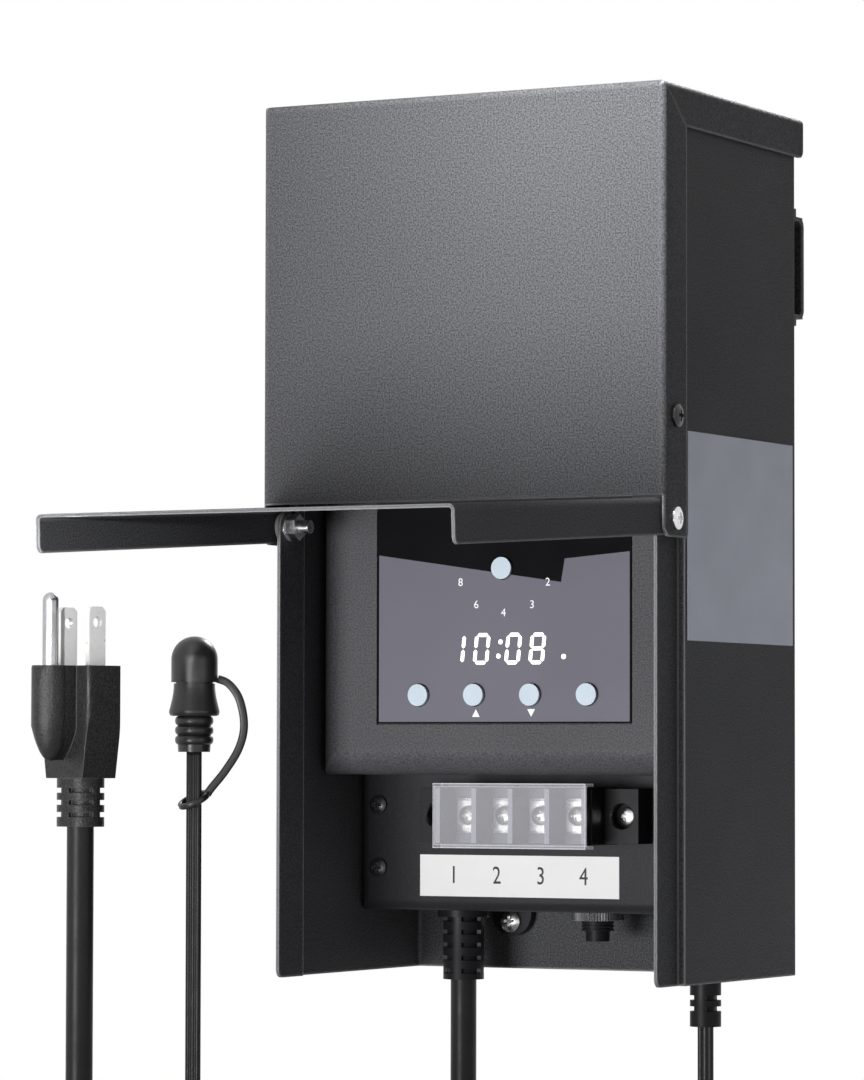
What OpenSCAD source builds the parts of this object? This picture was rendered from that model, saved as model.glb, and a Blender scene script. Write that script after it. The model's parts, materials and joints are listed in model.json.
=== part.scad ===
// Low voltage landscape lighting transformer, hung on a wall by a keyhole in its rear bracket.
// Millimetres, +X to the right seen from the front, +Y into the wall, +Z up.
// The origin is the centre of the keyhole's round entry, on the face that touches the wall.

/* [Enclosure] */
// Height from the bottom edge to the top of the cover
total_h = 260; // [240:1:300]
// Width of the body over its side walls
body_w = 130; // [120:1:150]
// Depth from the cover's front face to the back panel's outer face
enclosure_d = 96.5; // [92:0.5:110]
// Thickness of the painted steel sheet
sheet_t = 1; // [0.8:0.1:1.4]
// Outside radius of the sheet's bends
bend_r = 1.8; // [1.5:0.1:2.5]
// Clearance between pieces that sit beside each other
fit_gap = 0.3; // [0.2:0.05:0.5]
// How far the front lips are set in from the side walls
joggle = 2.4; // [2.2:0.1:3]
// Depth of the front lips, from the step to their front edge
lip_d = 13.8; // [13:0.2:18]
// Radius of the lips' lower front corners
lip_corner_r = 2.5; // [1:0.5:5]
// Width of the inward flange round the body's top
top_flange_w = 9; // [6:0.5:14]

/* [Cover] */
// Height of the cover's front panel
cover_front_h = 119.5; // [100:0.5:125]
// Depth of the cover over the roof
roof_d = 99; // [97:0.5:103]
// Height of the roof's side flanges
roof_flange_h = 12; // [8:0.5:16]
// Depth of the front panel's side flanges
cover_flange_d = 15; // [14:0.5:17]
// How far the ears reach below the front panel
ear_drop = 11.7; // [10.5:0.1:14]
// Radius of the ears' lower front corners
ear_corner_r = 4; // [2:0.5:6]
// Radius of the roof flanges' lower rear corners
roof_corner_r = 2.5; // [1:0.5:4]
// Width of the mitre slit between the flanges
mitre_w = 0.25; // [0.2:0.05:0.4]
// Height of the cover's screws above the hinge axis
cover_screw_rise = 29.5; // [24:0.5:60]

/* [Door] */
// Distance from the hinge axis down to the closed door's free edge
door_drop = 133.9; // [120:0.1:134]
// Distance from the hinge axis up to the door's hinge-end edge
door_rise = 5.5; // [5:0.1:5.7]
// Distance from the hinge axis to the door's outer face
door_face = 6.1; // [6:0.1:6.2]
// Depth of the door's side flanges
door_flange_d = 10.8; // [10.4:0.1:11.2]
// Radius of the flanges' free corners
door_corner_r = 2.2; // [1:0.1:3]
// How far the door is swung up, from closed
open_angle = 86.5; // [80:0.5:87]

/* [Hinge] */
// Distance of the hinge axis behind the cover's front face
hinge_back = 7.4; // [7.3:0.1:7.8]
// Distance of the hinge axis below the cover's front panel
hinge_below = 6.3; // [6.2:0.1:6.4]
// Radius of the hinge screws' shanks
pin_r = 2; // [1.75:0.05:2.1]
// Radial running clearance of the door on the hinge screws
run_gap = 0.06; // [0.03:0.01:0.09]
// Radius of the pan heads of the hinge and cover screws
pan_r = 3.3; // [3:0.1:3.6]
// Height of those pan heads
pan_h = 1.8; // [1.4:0.1:2.4]
// Thickness of the washers inside the lips
washer_t = 0.8; // [0.6:0.1:1.2]
// Outside radius of the washers and spacers
washer_r = 4.2; // [3.8:0.1:4.6]
// Width across the flats of the hinge nuts
nut_af = 7; // [6.5:0.1:7.5]
// Thickness of the hinge nuts
nut_t = 3.2; // [2.6:0.1:4]
// Length of thread past each nut
thread_over = 3.4; // [1:0.2:5]

/* [Hanger] */
// How far the bracket stands off the back panel
bracket_stand = 7; // [6:0.5:10]
// Width of the bracket
bracket_w = 129; // [100:1:129]
// Height of the bracket's raised plate
bracket_h = 31; // [28:0.5:36]
// Height of each bracket foot on the back panel
foot_h = 2.4; // [2:0.2:8]
// Thickness of the bracket
bracket_t = 1.2; // [1:0.1:2]
// Height of the keyhole's round entry above the bottom edge
hang_h = 211; // [180:1:225]
// Height of the raised plate's lower edge below the keyhole's entry
plate_below = 11.8; // [10:0.1:14]
// Radius of the keyhole's round entry
key_r = 5; // [4.5:0.1:5.5]
// Half the width of the keyhole's slot
slot_r = 2.4; // [2:0.1:2.6]
// Length of the keyhole's slot above the entry's centre
slot_l = 11; // [9:0.5:13]

/* [Timer] */
// Depth of the timer housing's front face behind the cover's front
timer_back = 28; // [24:0.5:32]
// Height of the timer housing's lower edge above the bottom edge
timer_low = 60.3; // [59.5:0.1:62]
// Height of the timer housing
timer_h = 88; // [80:1:92]
// Radius of the timer housing's front edges
timer_r = 8; // [4:0.5:10]
// Wall thickness of the moulded housing
mould_t = 2.2; // [1.8:0.1:2.8]
// Width of the faceplate
face_w = 84.6; // [80:0.2:90]
// Height of the faceplate
face_h = 66; // [64:0.5:68]
// Thickness of the faceplate
face_t = 0.8; // [0.6:0.1:1.2]
// Height of the faceplate's lower edge above the housing's lower edge
face_rise = 15.3; // [13:0.1:18]
// Radius of the push buttons
button_r = 3.15; // [2.6:0.05:3.4]
// How far the push buttons stand out of the faceplate
button_out = 1.2; // [0.8:0.1:2]
// Travel of the push buttons
button_travel = 0.8; // [0.4:0.1:1]
// Spacing of the push buttons in the lower row
button_pitch = 18.7; // [16:0.1:20]
// Height of the lower row above the faceplate's lower edge
row_rise = 8.5; // [7:0.1:11]
// Height of the single upper button above the faceplate's lower edge
menu_rise = 46.1; // [42:0.1:50]
// Width of the display module
display_w = 40; // [36:0.5:44]
// Height of the display module
display_h = 16; // [14:0.5:18]
// Depth of the display module
display_d = 7; // [6:0.2:8]
// Height of the display's centre above the faceplate's lower edge
display_rise = 22.1; // [20:0.1:26]

/* [Terminal box] */
// Depth of the terminal box's front face behind the cover's front
box_back = 56; // [52:0.5:60]
// Height of the terminal box's lower face above the bottom edge
box_low = 18.9; // [14:0.1:24]
// Height of the terminal box
box_h = 131; // [126:1:134]
// Radius of the terminal box's front and lower edges
box_r = 3.2; // [2.8:0.1:5]
// Radius of the mounting ears below the box
lug_r = 6.8; // [6:0.1:7.5]
// Height of the ears' centres below the box's lower face
lug_drop = 1.9; // [0.5:0.1:3]
// Distance of the ears from the middle
lug_x = 29.7; // [26:0.1:34]
// Thickness of the mounting ears
lug_t = 3; // [2:0.2:4]
// Radius of the ears' screw heads
lug_head_r = 3.3; // [3:0.1:3.8]
// Distance of the box's front screws from the middle
box_screw_x = 57; // [55:0.2:58]
// Heights of the box's front screws above its lower face
box_screw_rises = [12.9, 32.1];

/* [Terminal block] */
// Spacing of the terminals
terminal_pitch = 12.2; // [11:0.1:13]
// Offset of the terminal block to the side
block_x = -1; // [-4:0.1:2]
// Height of the terminals above the box's lower face
block_rise = 29.2; // [27:0.1:30]
// Height of the terminal block
block_h = 17; // [15:0.2:18]
// Depth of the block from the box's front to the terminals' floor
block_floor = 10.5; // [9:0.1:12]
// Depth of the block from the box's front to the dividers' edges
block_d = 21; // [19.5:0.1:21.5]
// Thickness of the block's dividers
divider_t = 1.6; // [1.2:0.1:2]
// Length of the block's fixing tabs
tab_l = 11; // [9:0.2:12]
// Thickness of the fixing tabs
tab_d = 9.2; // [8.4:0.1:10]
// Radius of the well in each tab
well_r = 3.9; // [3.2:0.1:4.4]
// Depth of the well in each tab
well_d = 4.6; // [3.6:0.1:5.4]
// Wall thickness of the clear cover
clear_t = 0.9; // [0.7:0.1:1.2]
// Depth of the clear cover's edges
clear_d = 5.3; // [4:0.1:6]
// How far the clear cover slides off
clear_travel = 14; // [6:0.5:15]
// Width of the label below the block
label_w = 67.4; // [60:0.2:70]
// Height of that label
label_h = 12.6; // [10:0.1:14]
// Thickness of the labels
label_t = 0.3; // [0.2:0.05:0.4]
// Height of that label's lower edge above the box's lower face
label_rise = 4.4; // [3.4:0.1:5]
// Offset of that label to the side
label_x = -8.7; // [-10:0.1:-6]

/* [Side label] */
// Depth of the label on the side wall
side_label_d = 75; // [60:0.5:78]
// Height of the label on the side wall
side_label_h = 60.6; // [50:0.2:64]
// Height of that label's lower edge above the bottom edge
side_label_low = 99.4; // [80:0.2:110]

/* [Breaker] */
// Distance of the breaker from the middle
breaker_x = 8; // [4:0.2:12]
// Depth of the openings in the box's lower face, behind the cover's front
outlet_back = 76; // [74:0.5:80]
// Radius of the breaker's threaded collar
collar_r = 4.95; // [4.5:0.05:5.4]
// Length of the collar below the box
collar_l = 5.9; // [5:0.1:7]
// Radius of the knurled nut
knurl_r = 8.2; // [7.6:0.1:8.8]
// Thickness of the knurled nut
knurl_t = 2.8; // [2:0.1:3.6]
// Radius of the reset button
reset_r = 3.65; // [3:0.05:3.8]
// How far the reset button stands out of the collar
reset_out = 3.2; // [2.4:0.1:4]
// Travel of the reset button when it trips
reset_travel = 3; // [2:0.1:3.5]

/* [Cords] */
// Diameter of the mains cord
cord_d = 8; // [7:0.1:8.4]
// Width of the flat sensor cord
lead_w = 4.6; // [4:0.1:5]
// Thickness of the flat sensor cord
lead_t = 2; // [1.8:0.1:2.4]
// Distance of the mains outlet from the middle, to the left
mains_x = 38; // [36:0.2:39]
// Distance of the sensor outlet from the middle, to the right
sensor_out_x = 44; // [42:0.2:48]
// Length of the mains strain relief below the box
relief_l = 21.6; // [20:0.1:24]
// Radius of the mains strain relief's flange
relief_flange_r = 8; // [7.4:0.1:8.6]
// Radius of the mains strain relief's rings
relief_ring_r = 6.3; // [6:0.1:7]
// Length of the sensor cord's gland below the box
gland_l = 33.9; // [30:0.1:36]
// Radius of the sensor cord's gland
gland_r = 4.7; // [4.2:0.1:5.2]

/* [Plug] */
// Length of the plug's flat blades
blade_l = 17.3; // [16:0.1:18]
// Width of the plug's flat blades
blade_w = 6.35; // [6.2:0.05:6.5]
// Thickness of the plug's flat blades
blade_t = 1.5; // [1.4:0.05:1.6]
// Spacing of the flat blades
blade_pitch = 12.7; // [12.6:0.05:12.8]
// Length of the round pin
ground_l = 21.4; // [20:0.1:22]
// Radius of the round pin
ground_r = 2.38; // [2.3:0.01:2.45]
// Distance of the round pin from the blades' line
ground_off = 11.9; // [11.8:0.05:12]
// Width of the plug's body at its face
plug_w = 21.8; // [20.8:0.1:23]
// Depth of the plug's body at its face
plug_d = 12.9; // [12:0.1:13.6]
// Length of the plug's body
plug_l = 33; // [30:0.5:36]
// Radius of the rib round the plug's round pin
rib_r = 5.4; // [5:0.05:5.8]
// Length of the plug's strain relief
plug_relief_l = 14.2; // [12:0.2:16]

/* [Sensor] */
// Radius of the sensor's cap
cap_r = 7; // [6.6:0.1:7.4]
// Height of the sensor's cap
cap_h = 13.8; // [12.6:0.1:15]
// Wall thickness of the sensor's cap
cap_t = 1.1; // [0.9:0.1:1.4]
// How far the cap lifts off on its strap
cap_travel = 13; // [8:0.5:14]
// Radius of the sensor's body below the cap
sensor_r = 6.2; // [5.8:0.1:6.5]
// Radius of the sensor's skirt
skirt_r = 7.6; // [7.2:0.1:7.9]
// Height of the sensor's body below the cap
sensor_h = 9.8; // [9:0.1:12]
// Length of the sensor's ribbed boot
boot_l = 10.8; // [9:0.1:12]
// Width of the cap's strap
strap_w = 2.4; // [2:0.1:3]
// Thickness of the cap's strap
strap_t = 1.4; // [1:0.1:1.6]

/* [Transformer core] */
// Outside radius of the taped toroidal core
core_r = 46; // [40:0.5:48]
// Radius of the core's central hole
core_hole_r = 17; // [14:0.5:20]
// Thickness of the core, windings and tape
core_d = 44; // [36:0.5:50]
// Thickness of the rubber pads on both sides of the core
pad_t = 2; // [1:0.2:3]
// Radius of the core's fixing stud
stud_r = 3; // [2.5:0.1:4]
// Radius of the dished washer on the core
dish_r = 26; // [22:0.5:32]

/* [Hidden] */
$fn = 48;

// One overrun serves all cuts
over = 1;
hexagon_share = 0.57735;
// Principal planes of the enclosure
back_y = -bracket_stand;
front_y = back_y - enclosure_d;
low_z = -hang_h;
top_z = low_z + total_h;
cover_w = body_w + 2 * (fit_gap + sheet_t);
cover_low_z = top_z - cover_front_h;
ear_low_z = cover_low_z - ear_drop;
hinge_y = front_y + hinge_back;
hinge_z = cover_low_z - hinge_below;
door_w = body_w;
// Front edge of the lips: just behind the closed door's inner face
lip_y = hinge_y - door_face + sheet_t + fit_gap;
step_y = lip_y + lip_d;
lip_x = body_w / 2 - joggle;
body_top_z = top_z - sheet_t - fit_gap;
// How far the door's upper edge reaches from the hinge axis
door_swing_r = norm([door_face, door_rise]);
inner_x = body_w / 2 - sheet_t;
inner_back_y = back_y - sheet_t;
// Bent steel keeps an inside radius of its outside radius less the sheet
inner_bend_r = bend_r - sheet_t;

// Painted and moulded colours
paint = [0.22, 0.22, 0.23];
mould_black = [0.12, 0.12, 0.13];
steel = [0.75, 0.75, 0.77];
copper_tape = [0.78, 0.66, 0.30];

// Screws: how much wider a clearance hole is than its shank, and the cross recess
hole_gap = 0.15;
cross_w = 0.9;
cross_l = 3.6;
cross_d = 1;
screw_dome_r = 6.5;
tap_r = 1.75;
cover_screw_l = 8;

// Timer: planes and inner pieces
timer_y = front_y + timer_back;
timer_low_z = low_z + timer_low;
timer_x = inner_x - fit_gap - 0.2 * sheet_t;
face_low_z = timer_low_z + face_rise;
face_gap = 0.3;
box_y = front_y + box_back;
button_hole_gap = 0.25;
button_flange_r = 4.2;
button_flange_t = 1;
button_stem_l = 2.4;
switch_w = 6;
switch_d = 3.4;
plunger_r = 1.7;
plunger_l = 0.5;
board_w = 100;
board_h = 74;
board_t = 1.6;
board_edge_rise = 6;
relay_w = 19;
relay_h = 15.5;
relay_d = 12;
post_r = 3;
post_in_x = 6;
board_y = timer_y + face_t + mould_t + button_flange_t + button_stem_l + plunger_l + switch_d + fit_gap * 4;
button_y = timer_y - button_out;
button_flange_y = timer_y + face_t + mould_t + fit_gap;
BUTTON_ROW = [for (i = [0:3]) [(i - 1.5) * button_pitch, face_low_z + row_rise]];
MENU_AT = [0, face_low_z + menu_rise];
display_at_z = face_low_z + display_rise;

// Terminal box
box_low_z = low_z + box_low;
box_x = inner_x - fit_gap;
box_rear_y = inner_back_y - fit_gap;
lug_z = box_low_z - lug_drop;
lug_head_h = 2;
lug_hole_r = 2.2;
lug_screw_drop = 2.3;
dome_head_r = 2.9;
dome_head_h = 1.5;
outlet_y = front_y + outlet_back;
// Terminal block
block_z = box_low_z + block_rise;
terminals = 4;
block_w = terminals * terminal_pitch + divider_t;
block_end = 0.4;
block_span = block_w + 2 * block_end;
end_drop = 3;
TERMINAL_X = [for (i = [0:terminals - 1]) block_x + (i - (terminals - 1) / 2) * terminal_pitch];
floor_y = box_y - block_floor;
divider_y = box_y - block_d;
tab_y = box_y - tab_d;
plate_w = 9.4;
plate_h = 10.4;
plate_t = 0.8;
clamp_w = 8;
clamp_h = 9.2;
clamp_t = 0.9;
terminal_head_r = 2.9;
terminal_head_h = 1.7;
mount_head_r = 2.5;
mount_head_h = 1.9;
clear_gap = 0.3;
clear_y = divider_y - clear_gap - clear_t;

// Breaker and the outlets in the box's lower face
breaker_w = 14;
breaker_l = 26;
breaker_h = 30;
knurls = 60;
knurl_depth_share = 0.97;
thread_step = 1.1;
thread_d = 0.35;
threads = 3;
neck_r = 6;
neck_h = 5;
gland_neck_r = 4.2;
relief_core_r = 5;
relief_flange_t = 2.4;
relief_slots = 5;
relief_slot_h = 1.4;
relief_end_h = 1.9;
relief_bridge_w = 2.8;
relief_turn = 8.5;
gland_bridge_w = 3.6;
gland_flange_r = 6.4;
gland_flange_t = 1.8;
gland_core_r = 3;
gland_slot_h = 1.5;
gland_slots = 2;
gland_end_h = 4.6;
gland_ring_h = 1.8;

// Cords: the surface under them, and where the plug and the sensor stand
cord_r = cord_d / 2;
floor_z = -290;
plug_at = [-104.5, -143.5];
plug_turn = -17;
plug_low_z = -151.8;
sensor_at = [-92, -99.5];
sensor_low_z = -144;

// Plug
plug_face_z = plug_low_z + plug_l;
plug_taper_share = 0.74;
plug_straight_share = 0.42;
rib_power = 1.4;
plug_corner_r = 1.2;
rib_straight_share = 0.55;
rib_end_share = 0.84;
blade_hole_r = 1.6;
blade_hole_drop = 4.6;
blade_corner = 1.2;
seat_d = 5;
tail_share = 0.8;
plug_relief_w = 15;
plug_relief_d = 11.6;
plug_relief_r = 5.6;
plug_slot_h = 1.45;
plug_slot_d = 1.25;
plug_slots = 3;
plug_bridge_w = 2.7;
plug_bridge_turn = -1.5;

// Sensor
boot_end_r = 4.8;
boot_end_h = 2.2;
boot_r = 5.8;
boot_ribs = 3;
boot_groove_r = 4.95;
skirt_round = 0.9;
boot_steps = 6;
sensor_body_z = sensor_low_z + boot_l;
cap_z = sensor_body_z + sensor_h;
spigot_r = cap_r - cap_t - fit_gap;
spigot_h = 4;
cell_r = 4.6;
cell_dome_gap = 0.4;
strap_loop_drop = 15.4;
strap_loop_z = sensor_low_z - strap_loop_drop;
strap_loop_r = 4;

// Core
core_drop = 54;
core_z = top_z - core_drop;
core_edge_r = 9;
pad_r = 44;
core_front_y = inner_back_y - 2 * pad_t - core_d;
dish_t = 1.5;
dish_flat_r = 10;
stud_over = 9;
stud_nut_af = 10;
stud_nut_t = 5;

// Coils: [centre x, centre y], outer radius, turns each way, spacing, first angle, way round
coil_gap = 1.4;
lead_gap = 1;
coil_step = cord_d + coil_gap;
MAINS_COIL = [-152, -92.5];
mains_coil_r = 51;
mains_coil_from = 96.8;
mains_coil_turn = 1253.2;
lead_step = lead_w + lead_gap;
SENSOR_COIL = [-66, -70.5];
sensor_coil_r = 29;
sensor_coil_from = -54.4;
sensor_coil_turn = -1475.6;
tie_t = 1;
tie_w = 6;
mains_tie_angle = 200;
sensor_tie_angle = 20;

// Routes of the free stretches, chosen by hand: x, y, z and the turn of a flat cord's width
MAINS_ROUTE = [[-38, -27.5, -213.7, 0], [-38, -27.5, -233, 0], [-38, -27.5, -253, 0],
               [-40.5, -27.8, -265.5, 0], [-47.5, -28.6, -276.5, 0], [-58.3, -29.9, -283.5, 0],
               [-71, -31.5, -286, 0], [-90, -33.7, -286, 0], [-110, -36.1, -286, 0],
               [-130, -38.5, -286, 0], [-150.1, -40.9, -286, 0]];
PLUG_ROUTE = [[-144, -143.5, -276.6, 0], [-137.5, -143.5, -276.6, 0], [-125, -143.5, -274.2, 0],
              [-114.2, -143.5, -267.4, 0], [-107, -143.5, -256.8, 0], [-104.5, -143.5, -244, 0],
              [-104.5, -143.5, -225, 0], [-104.5, -143.5, -205, 0], [-104.5, -143.5, -185, 0],
              [-104.5, -143.5, -166, 0]];
SENSOR_ROUTE = [[44, -27.5, -226, 0], [44, -27.5, -243, 18], [44, -27.5, -260, 36],
                [44, -27.5, -275.5, 54], [43.3, -28, -280.3, 54], [41.2, -29.5, -284.2, 54],
                [38, -31.8, -286.8, 54], [34.2, -34.5, -287.5, 54], [20, -44.7, -287.5, 54],
                [0, -59, -287.5, 90], [-15, -69.7, -287.5, 120], [-30, -80.4, -287.5, 144],
                [-45.4, -91.4, -287.5, 144]];
LEAD_ROUTE = [[-70.6, -99.5, -281.9, 0], [-75, -99.5, -281.9, 45], [-80, -99.5, -281.9, 90],
              [-84.6, -99.5, -281.4, 90], [-88.5, -99.5, -278.8, 90], [-91.1, -99.5, -275, 90],
              [-92, -99.5, -270.5, 90], [-92, -99.5, -255, 120], [-92, -99.5, -232, 152],
              [-92, -99.5, -210, 152], [-92, -99.5, -190, 152], [-92, -99.5, -170, 152],
              [-92, -99.5, -144, 152]];
// The cap's strap: a flat band from the cap's rim down to its loop on the cord
STRAP_ROUTE = [[-85.2, -95.9, -122.8, 50], [-82.4, -94.4, -124.4, 50], [-79.9, -93.1, -128.6, 50],
               [-78.8, -92.5, -135.9, 50], [-80.2, -93.2, -142.8, 50], [-83.3, -94.9, -149, 50],
               [-86.2, -96.4, -153.6, 50], [-87.7, -97.2, -156.2, 50]];

// Square and rectangle with chosen corners rounded, counted from the lower left, anticlockwise
module soft_rect(size, r, c = [1, 1, 1, 1]) {
  spots = [[r, r], [size.x - r, r], [size.x - r, size.y - r], [r, size.y - r]];
  translate([r, 0]) square([size.x - 2 * r, size.y]);
  translate([0, r]) square([size.x, size.y - 2 * r]);
  for (i = [0:3])
    translate(spots[i])
      if (c[i] == 1) circle(r);
      else square(2 * r, center = true);
}

// Outline drawn in Y and Z, run along X about the middle
module x_prism(l) {
  rotate([90, 0, 90]) linear_extrude(l, center = true) children();
}

// Outline drawn in X and Z, run from y 0 towards the front
module y_prism(l) {
  rotate([90, 0, 0]) linear_extrude(l) children();
}

module both_sides() {
  children();
  mirror([1, 0, 0]) children();
}

// Cylinder along X through x 0 to x l
module x_rod(r, l) {
  rotate([0, 90, 0]) cylinder(r = r, h = l);
}

// Cylinder along Y, from y 0 back to y l
module y_rod(r, l) {
  rotate([-90, 0, 0]) cylinder(r = r, h = l);
}

// Low domed head on the side z > 0 with a cross recess, shank on the side z < 0
module cross_screw(head_r, head_h, shank_r, shank_l) {
  difference() {
    intersection() {
      cylinder(r = head_r, h = head_h);
      translate([0, 0, head_h - screw_dome_r]) sphere(screw_dome_r);
    }
    for (a = [0, 90])
      rotate([0, 0, a]) translate([0, 0, head_h])
        cube([min(cross_l, head_r), cross_w, 2 * cross_d], center = true);
  }
  translate([0, 0, -shank_l]) cylinder(r = shank_r, h = shank_l);
}

module ring(r, bore, h, sides = $fn) {
  difference() {
    cylinder(r = r, h = h, $fn = sides);
    translate([0, 0, -over]) cylinder(r = bore, h = h + 2 * over);
  }
}

// Frames along a list of points: direction at each point, and a side vector that turns least
function unit(v) = v / norm(v);
function head(p, i) = [p[i].x, p[i].y, p[i].z];
function along(p) = [for (i = [0:len(p) - 1])
  unit((i < len(p) - 1 ? unit(head(p, i + 1) - head(p, i)) : [0, 0, 0])
     + (i > 0 ? unit(head(p, i) - head(p, i - 1)) : [0, 0, 0]))];
function sides(p, t, first) = [for (i = 0, n = unit(first - (first * t[0]) * t[0]); i < len(p);
  i = i + 1, n = i < len(p) ? unit(n - (n * t[i]) * t[i]) : n) n];

// Tube swept along points, with half sizes a and b across, in triangles
module sweep(p, a, b, first, count) {
  t = along(p);
  n = sides(p, t, first);
  points = [for (i = [0:len(p) - 1]) for (k = [0:count - 1])
    let (w = cos(p[i][3]) * n[i] + sin(p[i][3]) * cross(t[i], n[i]), u = cross(t[i], w),
         q = 360 * (k + 0.5) / count)
    head(p, i) + a * cos(q) * w + b * sin(q) * u];
  last = (len(p) - 1) * count;
  walls = [for (i = [0:len(p) - 2]) for (k = [0:count - 1]) for (h = [0, 1])
    let (k2 = (k + 1) % count, r = i * count)
    h == 0 ? [r + k, r + count + k, r + k2] : [r + k2, r + count + k, r + count + k2]];
  ends = concat([for (k = [1:count - 2]) [0, k, k + 1]],
                [for (k = [1:count - 2]) [last, last + k + 1, last + k]]);
  polyhedron(points, concat(walls, ends));
}

// Path of a coil: straight in, spiral in, climb a layer in the half turn, spiral out, straight out
function coil_path(c, r, from, turn, step, rise, z, d) =
  let (way = sign(turn), total = abs(turn) / 360, level = (total - 0.5) / 2,
       count = round(total * 24),
       spot = function(u) let (s = u * total, ang = from + way * 360 * s,
         in_turns = min(s, level) - max(0, s - level - 0.5),
         lift = min(1, max(0, (s - level) / 0.5)), rr = r - step * in_turns)
         [c.x + rr * cos(ang), c.y + rr * sin(ang), z + rise * lift, 0],
       a = spot(0), b = spot(1),
       a_dir = way * [-sin(from), cos(from)], b_dir = way * [-sin(from + turn), cos(from + turn)])
  concat([[a.x - d * a_dir.x, a.y - d * a_dir.y, a.z, 0]], [for (i = [0:count]) spot(i / count)],
         [[b.x + d * b_dir.x, b.y + d * b_dir.y, b.z, 0]]);

mains_points = coil_path(MAINS_COIL, mains_coil_r, mains_coil_from, mains_coil_turn, coil_step,
                         coil_step, floor_z + cord_r, cord_d);
sensor_points = coil_path(SENSOR_COIL, sensor_coil_r, sensor_coil_from, sensor_coil_turn,
                          lead_step, lead_step, floor_z + lead_w / 2 + 0.2, lead_w);

// Least gap between stretches of a tube that are more than three quarters of a turn apart
function self_gap(p, d) = min([for (i = [0:len(p) - 1]) for (k = [i + 18:1:len(p) - 1])
  norm(head(p, i) - head(p, k))]) - d;
echo(least_self_gap_of_mains_coil = self_gap(mains_points, cord_d));
echo(least_self_gap_of_sensor_coil = self_gap(sensor_points, lead_w));

// Sheet of the body, drawn from above: back, side walls, steps and front lips
module body_plan() {
  difference() {
    translate([-body_w / 2, step_y]) soft_rect([body_w, back_y - step_y], bend_r, [0, 0, 1, 1]);
    translate([-inner_x, step_y - over])
      soft_rect([2 * inner_x, inner_back_y - step_y + over], inner_bend_r, [0, 0, 1, 1]);
  }
  both_sides() {
    translate([lip_x - sheet_t, step_y]) square([joggle + sheet_t, sheet_t]);
    translate([lip_x - sheet_t, lip_y]) square([sheet_t, step_y - lip_y + sheet_t]);
  }
}

module body_shell() {
  color(paint) difference() {
    union() {
      translate([0, 0, low_z]) linear_extrude(body_top_z - low_z) body_plan();
      translate([0, 0, body_top_z - sheet_t]) linear_extrude(sheet_t) difference() {
        translate([-body_w / 2, step_y])
          soft_rect([body_w, back_y - step_y], bend_r, [0, 0, 1, 1]);
        translate([-inner_x + top_flange_w, step_y - over])
          square([2 * (inner_x - top_flange_w), inner_back_y - top_flange_w - step_y + over]);
      }
    }
    both_sides() {
      translate([lip_x - sheet_t - over, hinge_y, hinge_z])
        x_rod(pin_r + hole_gap, sheet_t + 2 * over);
      translate([lip_x - sheet_t - over, hinge_y + fit_gap, hinge_z + cover_screw_rise])
        x_rod(tap_r + hole_gap, sheet_t + 2 * over);
      translate([lug_x, inner_back_y - over, lug_z - lug_screw_drop])
        y_rod(lug_hole_r, sheet_t + 2 * over);
    }
    x_prism(body_w) translate([lip_y, low_z]) difference() {
      translate([-over, -over]) square(lip_corner_r + over);
      translate([lip_corner_r, lip_corner_r]) circle(lip_corner_r);
    }
    // Relief in the lips, where the door's upper edge swings in
    x_prism(body_w) translate([hinge_y, hinge_z]) intersection() {
      difference() {
        circle(door_swing_r + fit_gap);
        circle(door_face - sheet_t - fit_gap);
      }
      translate([-door_swing_r - over, 0]) square([door_swing_r + over + door_rise + fit_gap, door_swing_r + over]);
    }
  }
}

// Side view of the cover: roof band, front band and ear
module cover_side_view() {
  translate([front_y, top_z - roof_flange_h])
    soft_rect([roof_d, roof_flange_h], roof_corner_r, [0, 1, 0, 0]);
  translate([front_y, ear_low_z])
    soft_rect([cover_flange_d, cover_low_z - ear_low_z + ear_corner_r], ear_corner_r, [1, 0, 0, 0]);
  translate([front_y, cover_low_z]) square([cover_flange_d, top_z - roof_flange_h - cover_low_z]);
}

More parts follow.
